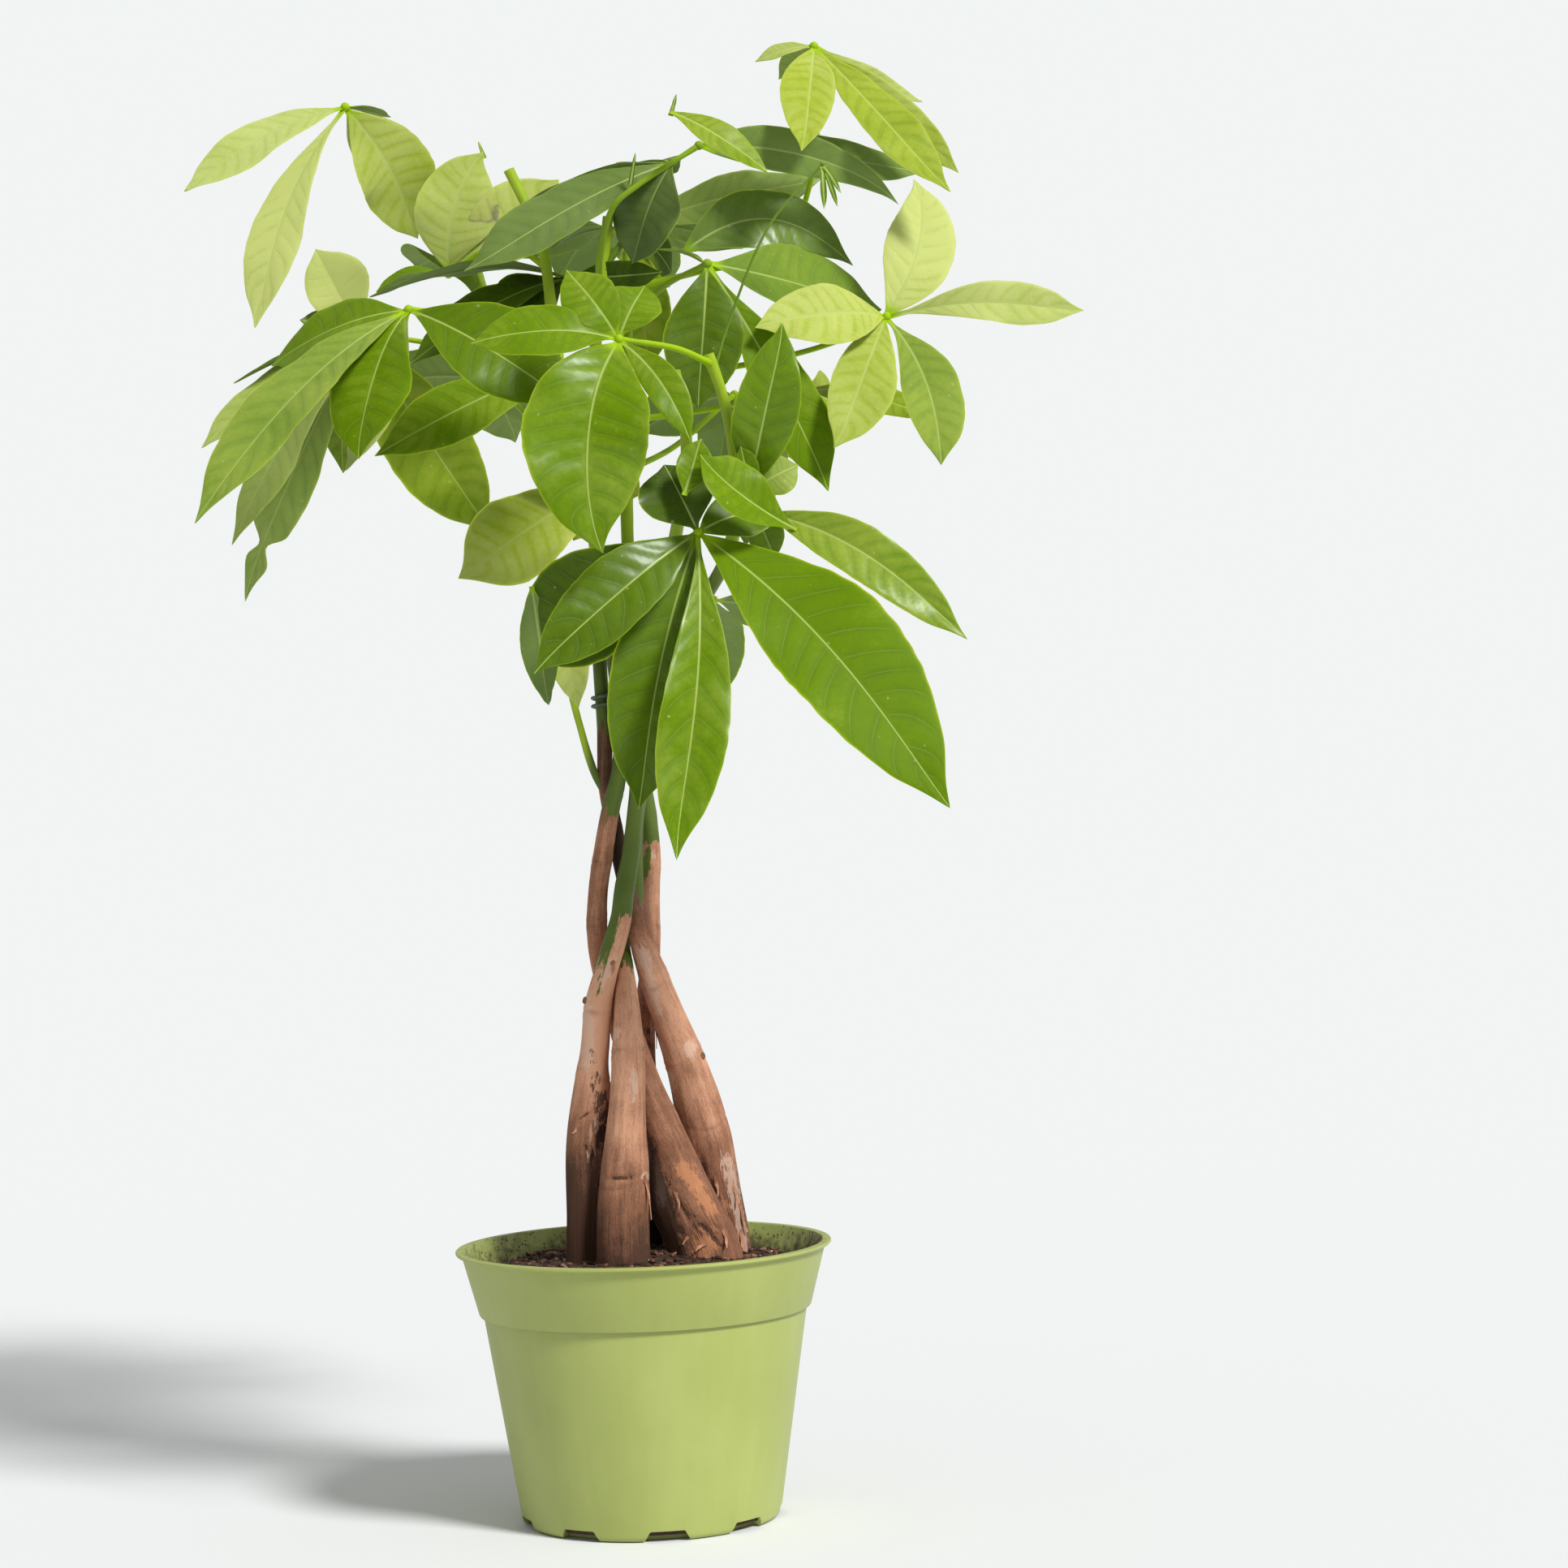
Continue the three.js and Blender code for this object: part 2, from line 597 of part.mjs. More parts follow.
/** A stub's short rod, thinner at its cut end. */
function stubRod({ place, radius, way }) {
  const at = (share, size) => {
    const reach = share * radius * STUB.reach;
    return [...place.map((value, axis) => value + way[axis] * reach), size];
  };
  const places = [at(0, radius), at(0.5, radius), at(1, radius * STUB.tip)];
  return solidOf(rodOf(places, STUB.sides, STUB.steps));
}

/** The rods that make one stem, with its pruned stubs and its side shoot. */
function stemSolid(name) {
  let stem = stemRod(STEMS[name]);
  for (const stub of STUBS.filter((each) => each.stem === name)) {
    stem = stem.add(stubRod(stub));
  }
  if (name === SIDE_SHOOT_STEM) {
    stem = stem.add(sideShootRod());
  }
  return stem;
}

/** The tie: a wire wound round its stem, clear of it by the gap. */
function tieSolid() {
  const steps = TIE.turns * TIE.stepsPerTurn;
  const radius = TIE.stemRadius + GAP + TIE.wire;
  const places = [];
  for (let step = 0; step <= steps; step += 1) {
    const angle = (2 * Math.PI * step) / TIE.stepsPerTurn;
    const height = TIE.bottom + (TIE.pitch * step) / TIE.stepsPerTurn;
    const x = TIE.x + radius * Math.cos(angle);
    places.push([x, TIE.depth + radius * Math.sin(angle), height, TIE.wire]);
  }
  return solidOf(rodOf(places, TIE.sides, steps));
}

// ---------------------------------------------------------------- leaves

/** How many stretches a blade of a length is made of. */
function bladeSteps(length) {
  if (length > BLADE.longBlade) {
    return 6;
  }
  return length > BLADE.middlingBlade ? 5 : 4;
}

/** One thin, arched and waved blade from the hub to its tip. */
function bladeSolid(hub, face, [x, depth, z, width, bow, roll, fold], order) {
  const tip = seen([x, depth, z]);
  const axis = tip.clone().sub(hub);
  const length = axis.length();
  axis.normalize();
  const up = face.clone().addScaledVector(axis, -face.dot(axis)).normalize();
  up.applyAxisAngle(axis, THREE.MathUtils.degToRad(roll));
  const across = new THREE.Vector3().crossVectors(axis, up);
  const steps = bladeSteps(length);
  const rings = [];
  for (let step = 0; step <= steps; step += 1) {
    const t = step / steps;
    const rise = bow * 4 * t * (1 - t);
    const slope = (bow * 4 * (1 - 2 * t)) / length;
    const normal = up.clone().addScaledVector(axis, -slope).normalize();
    const reach = THREE.MathUtils.lerp(BLADE.rootDepth, length, t);
    const middle = hub.clone().addScaledVector(axis, reach).addScaledVector(up, rise);
    const swell = Math.sin(Math.PI * t ** BLADE.lean) ** BLADE.fullness;
    const half = Math.max((width / 2) * swell, BLADE.stalk * (1 - t) + BLADE.tip);
    const phase = step * BLADE.waveStep + order * BLADE.wavePhase;
    const ripple = BLADE.wave * width * Math.sin(phase) * swell;
    const lift = fold * half;
    const edge = (side, sign) => middle
      .clone()
      .addScaledVector(across, side * half)
      .addScaledVector(normal, Math.abs(side) * lift + side * ripple)
      .addScaledVector(normal, (sign * BLADE.thickness) / 2);
    rings.push([edge(1, 1), edge(0, 1), edge(-1, 1), edge(-1, -1), edge(0, -1), edge(1, -1)]);
  }
  return solidOf(bladeSkin(rings));
}

/** Six-cornered rings joined so that the upper and the lower face split into like triangles. */
function bladeSkin(rings) {
  const corners = 6;
  const geometry = new THREE.BufferGeometry().setFromPoints(rings.flat());
  const index = [];
  const quad = (a, b, c, d, turn) => {
    if (turn) {
      index.push(a, d, b, b, d, c);
    } else {
      index.push(a, c, b, a, d, c);
    }
  };
  for (let ring = 0; ring < rings.length - 1; ring += 1) {
    const here = ring * corners;
    for (let corner = 0; corner < corners; corner += 1) {
      const next = (corner + 1) % corners;
      const lower = corner >= 3;
      quad(here + corner, here + next, here + next + corners, here + corner + corners, lower);
    }
  }
  const last = (rings.length - 1) * corners;
  for (const [a, b, c, d] of [[0, 1, 4, 5], [1, 2, 3, 4]]) {
    index.push(d, a, b, d, b, c);
    index.push(last + a, last + d, last + b, last + b, last + d, last + c);
  }
  geometry.setIndex(index);
  return geometry;
}

/** The petiole of a leaf as a rod that thins from the stem to the hub. */
function petioleSolid(petiole, slimness) {
  const places = petiole.map((place, index) => {
    const along = index / (petiole.length - 1);
    const radius = THREE.MathUtils.lerp(PETIOLE.startRadius, PETIOLE.endRadius, along);
    return [...place, radius * slimness];
  });
  const length = new THREE.CatmullRomCurve3(petiole.map(seen)).getLength();
  const steps = Math.max(2, Math.round(length / PETIOLE.stepLength));
  return solidOf(rodOf(places, PETIOLE.sides, steps));
}

/** A compound leaf: its petiole, its hub and its leaflets as one body. */
function leafSolid({ petiole, slimness = 1, face, leaflets }) {
  const hub = seen(petiole[petiole.length - 1]);
  const direction = new THREE.Vector3(...face).normalize();
  const knot = new THREE.OctahedronGeometry(HUB_RADIUS * slimness, 0);
  knot.translate(hub.x, hub.y, hub.z);
  const parts = [petioleSolid(petiole, slimness), solidOf(knot)];
  leaflets.forEach((leaflet, order) => {
    parts.push(bladeSolid(hub, direction, leaflet, order));
  });
  return parts.reduce((whole, piece) => whole.add(piece));
}

// ---------------------------------------------------------------- the whole plant

const group = new THREE.Group();
group.add(meshOf('pot', potSolid(), COLOURS.pot));

const holes = Object.values(STEMS).map((places) => stemRod(places, GAP));
group.add(meshOf('soil', soilSolid(holes), COLOURS.soil));

for (const name of Object.keys(STEMS)) {
  group.add(meshOf(name, stemSolid(name), COLOURS.bark));
}

group.add(meshOf('twist_tie', tieSolid(), COLOURS.tie));

for (const leaf of LEAVES) {
  const solid = leafSolid(leaf).subtract(stemClearance(leaf.stem));
  group.add(meshOf(leaf.name, solid, COLOURS.leaf));
}

export default group;
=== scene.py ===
"""A potted money tree: five braided stems, palmate leaves and a plain grower's pot.

Lengths in the tables are millimetres; every mesh is in metres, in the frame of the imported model.
"""

import logging
import math
import random
from collections.abc import Iterator
from dataclasses import dataclass, field
from enum import Enum

import bpy
import numpy as np
from mathutils import Matrix, Vector, noise


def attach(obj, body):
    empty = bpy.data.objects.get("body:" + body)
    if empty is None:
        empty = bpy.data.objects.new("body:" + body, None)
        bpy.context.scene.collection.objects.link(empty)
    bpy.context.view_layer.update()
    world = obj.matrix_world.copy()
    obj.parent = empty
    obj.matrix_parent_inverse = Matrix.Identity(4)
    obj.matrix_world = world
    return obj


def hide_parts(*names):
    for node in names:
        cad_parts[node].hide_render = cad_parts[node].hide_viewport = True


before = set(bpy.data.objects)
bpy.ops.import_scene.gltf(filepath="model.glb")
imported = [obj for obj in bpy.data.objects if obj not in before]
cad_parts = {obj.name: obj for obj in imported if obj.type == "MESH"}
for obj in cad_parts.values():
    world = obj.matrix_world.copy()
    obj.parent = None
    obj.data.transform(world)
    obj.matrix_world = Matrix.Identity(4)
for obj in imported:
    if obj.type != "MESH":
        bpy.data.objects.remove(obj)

LOG = logging.getLogger("money_tree")
MM = 0.001
SEED = 7
# The range that random phases are drawn from, close to a full turn.
PHASES = 6.28

Place = tuple[float, float, float]
Rgb = tuple[float, float, float]

# The eye that the places in the tables are given for. Each place is (x, depth, z): x and z as
# they are seen against the plane through the pot's axis, and depth the way behind that plane.
EYE = Vector((68.3, -1600.0, 320.0))


def seen(place: Place) -> Vector:
    """Gives the true place, in millimetres, of a place seen from the eye.

    Args:
        place: x, depth and z against the plane through the pot's axis.

    Returns:
        The true place.
    """
    x, depth, z = place[:3]
    reach = (depth - EYE.y) / -EYE.y
    return EYE + (Vector((x, 0.0, z)) - EYE) * reach


# ---------------------------------------------------------------- tables of the plant


@dataclass(frozen=True)
class Blade:
    """One leaflet: its tip as seen, its width and how it arches, bends and folds.

    bow arches the midrib towards the face and bend sideways, both in millimetres. roll turns the
    leaflet about its midrib, in degrees, and fold is how steeply its halves rise from it. lean
    over 1 puts the widest place nearer the tip, blunt widens the tip by so many millimetres, and
    neck is the share of the length where a turn pinches the blade. quilt and wave scale the
    swelling between veins and the waved margin. tone is how light the green is, from 0, deep, to
    1, pale; None takes the leaf's own. The tone is partly the leaflet's own green and partly
    painted light and shade: leaflets in shade get deeper tones and backlit ones paler tones.
    gloss is how much of the waxy shine it has, and haze how much painted grey sheen is laid over
    its green, the sky's reflection at a grazing angle painted in the underside's colour. root is
    where the leaflet starts when that isn't the hub.
    """

    x: float
    depth: float
    z: float
    width: float
    bow: float
    roll: float = 0.0
    fold: float = 0.05
    tone: float | None = None
    lean: float = 1.15
    bend: float = 0.0
    wave: float = 1.0
    quilt: float = 1.0
    gloss: float = 0.35
    painted_sheen: float = 0.0
    blunt: float = 0.0
    neck: float = 0.0
    root: Place | None = None


@dataclass(frozen=True)
class Leaf:
    """A compound leaf: the petiole's places from stem to hub, and its leaflets."""

    node: str
    # How light the leaf's green is, partly its own green and partly painted light and shade.
    tone: float
    face: Place
    petiole: tuple[Place, ...]
    blades: tuple[Blade, ...]
    slimness: float = 1.0


LEAVES = (
    Leaf(
        "leaf_top_left", tone=0.9, face=(-0.3, -0.9, 0.5),
        petiole=((-30, -4, 558), (-38, 28, 556), (-62, 62, 562), (-94, 74, 588), (-115, 20, 624)),
        blades=(
            Blade(-187, -10, 589, 22, bow=4, roll=-6, fold=0.16, bend=3, tone=0.92, blunt=3,
                  gloss=0, painted_sheen=0.5),
            Blade(-158, -5, 528, 26, bow=5, bend=5, lean=1.5, tone=1.0, blunt=1.5, gloss=0),
            Blade(-85, 62, 565, 38, bow=4, bend=-3, lean=1.05, tone=0.84, gloss=0, roll=-28),
            Blade(-95, 84, 619, 8, bow=1, fold=0.02, tone=0.5, wave=0.3),
            Blade(-86, 118, 574, 22, bow=6, roll=10),
        ),
    ),
    Leaf(
        "leaf_left_upper", tone=0.86, face=(0.1, -0.9, 0.3),
        petiole=((-29, -4, 551), (-48, 16, 562), (-72, 30, 549)),
        blades=(
            Blade(-55, 32, 602, 37, bow=5, bend=-5, lean=0.95, gloss=0, tone=0.84, painted_sheen=0.3),
            Blade(-57, 32, 607, 1.4, bow=0, tone=0.6, root=(-54, 32, 598)),
            Blade(-104, 20, 542, 15, bow=3, roll=50, fold=0.5, tone=0.4),
            Blade(-22, 30, 589, 34, bow=4, roll=10),
            Blade(-86, 85, 552, 32, bow=6, roll=40, tone=0.5),
            Blade(-58, 105, 553, 32, bow=6, roll=60, tone=0.5),
        ),
    ),
    Leaf(
        "leaf_left_back", tone=0.55, face=(-0.4, -0.9, 0.3),
        petiole=((-24, -6, 503), (-45, 22, 508), (-82, 38, 519), (-111, 30, 524)),
        blades=(
            Blade(-130, 15, 562, 29, bow=5, fold=0.14, roll=20, tone=1.05, blunt=3, lean=1.3,
                  gloss=0),
            Blade(-168, 14, 504, 13, bow=3, roll=50, fold=0.2, tone=0.2),
            Blade(-138, 18, 531, 15, bow=2, tone=0.36, gloss=0.5, painted_sheen=0.5, blunt=2),
            Blade(-183, 5, 476, 23, bow=4, roll=10, tone=0.75, painted_sheen=0.7),
            Blade(-171, 30, 433, 26, bow=6, roll=10, tone=0.72, painted_sheen=0.9, blunt=2),
            Blade(-166, 62, 408, 25, bow=6, roll=-10, neck=0.79, lean=1.15, tone=0.6, painted_sheen=0.8),
            Blade(-121, 62, 463, 30, bow=5),
            Blade(-57, 12, 434, 40, bow=4, tone=0.62, fold=0.12),
        ),
    ),
    Leaf(
        "leaf_left_front", tone=0.5, face=(-0.3, -0.8, 0.6),
        petiole=((-26, -5, 520), (-45, -30, 528), (-90, -60, 534)),
        blades=(
            Blade(-187, -118, 443, 33, bow=9, fold=0.14, bend=2, lean=1.15, tone=0.56, blunt=2,
                  painted_sheen=0.4, quilt=2.0),
            Blade(-114, -92, 469, 38, bow=8, tone=0.46, lean=1.45, fold=0.12, quilt=1.8),
            Blade(-21, -78, 489, 40, bow=8, tone=0.38, fold=0.12, lean=1.2, gloss=0.3, quilt=1.6),
            Blade(-151, -30, 511, 37, bow=5, roll=12, tone=0.46),
            Blade(-120, -66, 464, 20, bow=4, roll=180, tone=0.9, gloss=0, blunt=3),
        ),
    ),
    Leaf(
        "leaf_left_inner", tone=0.25, face=(0.0, -0.8, 0.6),
        petiole=((-8, 4, 528), (-14, 11, 540), (-19, 12, 546)),
        blades=(
            Blade(-107, -12, 540, 26, bow=8, roll=55),
            Blade(-90, 3, 510, 30, bow=6, roll=15),
            Blade(-54, 8, 522, 34, bow=4, tone=0.12),
            Blade(22, 0, 547, 15, bow=5, roll=55, tone=0.15),
        ),
    ),
    Leaf(
        "leaf_centre_left", tone=0.5, face=(0.0, -0.9, 0.4),
        petiole=((-22, -7, 490), (-21, -18, 500), (-21, -26, 507)),
        blades=(
            Blade(-107, -36, 470, 29, bow=6, lean=1.2, fold=0.1, tone=0.52),
            Blade(-22, -48, 446, 32, bow=6),
            Blade(12, -44, 476, 28, bow=5),
        ),
    ),
    Leaf(
        "leaf_centre_low", tone=0.75, face=(-0.1, -0.9, 0.4),
        petiole=((-12, -9, 435), (-6, -22, 448), (-1, -30, 456)),
        blades=(
            Blade(-72, -52, 415, 42, bow=5, lean=1.5, tone=0.82, blunt=4, gloss=0.15),
            Blade(-21, -44, 430, 20, bow=3),
            Blade(9, -42, 449, 14, bow=2, roll=20),
        ),
    ),
    Leaf(
        "leaf_top_centre", tone=0.18, face=(-0.1, -0.8, 0.7),
        petiole=((-4, 2, 548), (10, 0, 568), (28, -10, 595)),
        blades=(
            Blade(-65, -46, 550, 33, bow=4, fold=0.08, gloss=1.3, tone=0.26, painted_sheen=0.45, quilt=3.2),
            Blade(-40, -14, 578, 16, bow=3, roll=60, fold=0.1, painted_sheen=0.6),
            Blade(9, -2, 551, 38, bow=4, gloss=0.8, painted_sheen=0.6, lean=1.0, quilt=2.0),
            Blade(10, 70, 580, 30, bow=6, roll=20),
        ),
    ),
    Leaf(
        "leaf_top_inner", tone=0.25, face=(0.1, -0.7, 0.7),
        petiole=((7, 15, 552), (7, 22, 560), (8, 32, 566)),
        blades=(
            Blade(94, 42, 586, 22, bow=8, roll=30, fold=0.1, tone=0.6, painted_sheen=0.8, wave=2, quilt=1.6),
            Blade(15, 44, 504, 28, bow=3, roll=10, tone=0.7, gloss=0),
            Blade(26, 50, 546, 22, bow=3, roll=20),
            Blade(-26, 38, 559, 22, bow=4, roll=40),
            Blade(30, 105, 560, 32, bow=6, roll=20),
        ),
    ),
    Leaf(
        "leaf_top_bright", tone=0.3, face=(0.2, -0.8, 0.5),
        petiole=((-6, 3, 540), (-5, -24, 556), (2, -42, 577), (12, -44, 585), (40, -38, 602)),
        blades=(
            Blade(70, -60, 589, 16, bow=3, tone=0.6, lean=1.0, root=(26.5, -56, 618)),
            Blade(31, -56, 625, 1.6, bow=0, tone=0.4, root=(27.5, -56, 614)),
            Blade(12, -30, 600, 1.6, bow=0, tone=0.2, root=(9, -30, 584)),
            Blade(127, -6, 573, 19, bow=6, bend=-8, roll=40, fold=0.1, tone=0.44, painted_sheen=0.7,
                  lean=0.65, wave=2, gloss=0.6),
            Blade(139, 22, 587, 20, bow=3, roll=20, tone=0.5, bend=-1, painted_sheen=0.8, quilt=2.2),
        ),
    ),
    Leaf(
        "leaf_top_right", tone=0.78, face=(0.2, -0.8, 0.5),
        petiole=((6, 15, 540), (36, 30, 546), (74, 34, 556), (90, 22, 590), (92, -10, 644)),
        blades=(
            Blade(66, -10, 638, 10, bow=2, roll=15, fold=0.1, tone=0.8, painted_sheen=0.4),
            Blade(85, -56, 598, 24, bow=3, fold=0.12, tone=0.76, gloss=0.1, lean=1.0),
            Blade(150, -36, 578, 25, bow=2, fold=0.12, bend=1, tone=0.68, blunt=1.5, gloss=0.1),
            Blade(139, 8, 618, 10, bow=0, roll=10, fold=0.1, bend=1, tone=0.85, painted_sheen=0.4),
            Blade(154, 6, 586, 18, bow=6, roll=30),
            Blade(76, 30, 630, 13, bow=3, roll=50, fold=0.1),
        ),
    ),
    Leaf(
        "leaf_young", tone=0.14, face=(0.1, -1.0, 0.2), slimness=0.42,
        petiole=((43, -80, 501), (50, -76, 522), (70, -80, 566), (94, -78, 592)),
        blades=(
            Blade(94, -82, 572, 2.8, bow=1, fold=0.1, tone=0.4),
            Blade(100, -72, 573, 2.4, bow=1, fold=0.1, tone=0.4),
            Blade(102, -82, 579, 2.2, bow=1, fold=0.1, tone=0.4),
        ),
    ),
    Leaf(
        "leaf_right_inner", tone=0.3, face=(0.1, -0.9, 0.5),
        petiole=((6, 15, 524), (22, -18, 540), (42, -50, 550)),
        blades=(
            Blade(36, -60, 486, 34, bow=5, quilt=2.8, gloss=0.9),
            Blade(92, -46, 448, 28, bow=7, lean=1.6, tone=0.48, gloss=0.1),
            Blade(106, 4, 547, 29, bow=7, bend=-16, roll=15, fold=0.1, tone=0.34, gloss=1.3,
                  lean=0.9, painted_sheen=0.3, quilt=3.2, root=(30, -22, 555)),
            Blade(112, 26, 533, 22, bow=6, roll=15, fold=0.1, tone=0.4),
            Blade(20, -44, 557, 13, bow=2, roll=50),
            Blade(118, 6, 527, 42, bow=5, bend=3, tone=0.48, gloss=0.2, painted_sheen=0.3, quilt=1.6),
        ),
    ),
    Leaf(
        "leaf_right", tone=0.88, face=(0.2, -0.9, 0.4),
        petiole=((5, 14, 500), (58, 16, 505), (95, -2, 513), (120, -25, 524)),
        blades=(
            Blade(134, 0, 584, 31, bow=5, lean=0.88, bend=7, quilt=1.4, tone=1.0, gloss=0),
            Blade(207, -32, 524, 19, bow=5, roll=20, fold=0.16, lean=1.5, bend=-4, wave=2,
                  tone=0.95, gloss=0, painted_sheen=0.2),
            Blade(62, -64, 521, 30, bow=6, fold=0.12, tone=0.86, gloss=0, lean=1.0, quilt=1.4),
            Blade(95, -62, 467, 28, bow=5, lean=1.2, quilt=1.8, tone=0.8, gloss=0, painted_sheen=0.2),
            Blade(142, -50, 458, 27, bow=4, tone=0.62, bend=-5, lean=1.35, fold=0.15, wave=1.6,
                  quilt=1.5, gloss=0, painted_sheen=0.4),
        ),
    ),
    Leaf(
        "leaf_right_back", tone=0.65, face=(0.3, -0.8, 0.5),
        petiole=((5, 13, 482), (42, 35, 486), (81, 48, 493)),
        blades=(
            Blade(139, 12, 478, 20, bow=5),
            Blade(62, 85, 462, 30, bow=6, roll=10),
            Blade(96, 105, 478, 30, bow=6, roll=20),
        ),
    ),
    Leaf(
        "leaf_front", tone=0.47, face=(0.0, -1.0, 0.4),
        petiole=((42, -82, 506), (27, -96, 513), (2, -110, 518)),
        blades=(
            Blade(-8, -138, 424, 52, bow=12, bend=8, lean=0.98, fold=0.1, wave=1.4, tone=0.5,
                  quilt=2.6, gloss=1.0),
            Blade(-20, -102, 549, 24, bow=4, tone=0.5, lean=0.95),
            Blade(14, -98, 541, 24, bow=3, tone=0.5, blunt=3),
            Blade(-63, -118, 518, 30, bow=6, roll=15, tone=0.48),
            Blade(32, -126, 472, 16, bow=4, fold=0.1, tone=0.5, bend=-3),
        ),
    ),
    Leaf(
        "leaf_right_upright", tone=0.42, face=(0.1, -1.0, 0.2),
        petiole=((52, -55, 441), (55, -68, 445), (57, -78, 449)),
        blades=(
            Blade(74, -92, 523, 27, bow=6, fold=0.24, wave=1.8, quilt=3.0, tone=0.44, lean=0.95,
                  gloss=0.8),
            Blade(79, -74, 460, 18, bow=3, tone=0.66, painted_sheen=0.5),
            Blade(54, -90, 469, 12, bow=2),
            Blade(68, -62, 419, 16, bow=3, roll=20),
        ),
    ),
    Leaf(
        "leaf_low_front", tone=0.48, face=(0.2, -0.9, 0.5),
        petiole=((5, -6, 330), (17, -44, 392), (34, -100, 432)),
        blades=(
            Blade(141, -140, 307, 52, bow=8, roll=5, bend=-5, quilt=0.6, wave=0.6, tone=0.46,
                  gloss=0, lean=1.02),
            Blade(151, -112, 381, 24, bow=9, roll=14, fold=0.2, tone=0.58, bend=-5, quilt=3.4,
                  gloss=0.8, painted_sheen=0.1, lean=0.98, root=(62, -90, 440)),
            Blade(36, -118, 466, 27, bow=1, bend=-4, lean=1.6, tone=0.5, fold=0.3, gloss=0.3,
                  blunt=4, root=(80, -99, 430)),
            Blade(75, -84, 438, 22, bow=1, bend=-4, lean=0.8, tone=0.34, fold=0.1, quilt=1.6),
            Blade(37, -110, 473, 15, bow=0, lean=1.1, tone=0.5, fold=0.2, root=(28, -116, 447)),
            Blade(-45, -76, 381, 47, bow=5, roll=-10, fold=0.1, tone=0.2, lean=1.5, blunt=5),
            Blade(-34, -80, 358, 16, bow=1, roll=180, tone=0.4, gloss=0, blunt=3, fold=0.0,
                  lean=1.0, root=(-40, -84, 412)),
            Blade(-40, -128, 372, 32, bow=7, tone=0.3, quilt=2.8, fold=0.14, lean=1.05, gloss=0.9),
            Blade(4, -106, 311, 42, bow=5, tone=0.34, quilt=2.4, fold=0.1, bend=4, gloss=0.7),
            Blade(20, -136, 288, 29, bow=8, fold=0.3, quilt=1.9, lean=1.45, tone=0.5, bend=-3,
                  gloss=0.9),
            Blade(20, -98, 462, 36, bow=3, fold=0.12, tone=0.14, gloss=0.5, lean=1.2, blunt=5,
                  bend=-1, quilt=1.8),
        ),
    ),
    Leaf(
        "leaf_side_shoot", tone=0.8, face=(-0.2, -0.9, 0.3),
        petiole=((-28, -5, 392), (-28.5, -6, 400), (-28, -8, 407)),
        blades=(
            Blade(-21, -26, 356, 18, bow=4, tone=0.95),
            Blade(-36, -20, 372, 12, bow=3, roll=30, fold=0.1, tone=0.5),
        ),
    ),
    Leaf(
        "leaf_back_high", tone=0.5, face=(0.0, 0.6, 0.8),
        petiole=((-8, 4, 510), (-5, 38, 536), (0, 80, 566)),
        blades=(
            Blade(-52, 112, 556, 32, bow=8),
            Blade(-25, 160, 545, 36, bow=10),
            Blade(25, 170, 540, 34, bow=10),
            Blade(58, 118, 556, 30, bow=8),
        ),
    ),
    Leaf(
        "leaf_back_left", tone=0.5, face=(-0.4, 0.7, 0.6),
        petiole=((-15, -9, 450), (-30, 30, 474), (-52, 78, 500)),
        blades=(
            Blade(-112, 108, 500, 30, bow=7),
            Blade(-88, 156, 480, 34, bow=8),
            Blade(-45, 176, 474, 34, bow=8),
            Blade(-15, 138, 482, 30, bow=6),
        ),
    ),
    Leaf(
        "leaf_back_right", tone=0.45, face=(0.4, 0.7, 0.6),
        petiole=((4, 11, 460), (25, 50, 470), (52, 100, 492)),
        blades=(
            Blade(8, 150, 476, 32, bow=8),
            Blade(40, 185, 450, 36, bow=10),
            Blade(84, 170, 456, 34, bow=10),
            Blade(55, 122, 425, 30, bow=6),
        ),
    ),
    Leaf(
        "leaf_back_low", tone=0.45, face=(0.1, 0.8, 0.6),
        petiole=((20, 6, 373), (30, 45, 385), (40, 80, 402)),
        blades=(
            Blade(-22, 100, 388, 32, bow=8),
            Blade(-6, 158, 364, 36, bow=10),
            Blade(32, 178, 352, 36, bow=10),
            Blade(98, 128, 374, 32, bow=9),
        ),
    ),
)

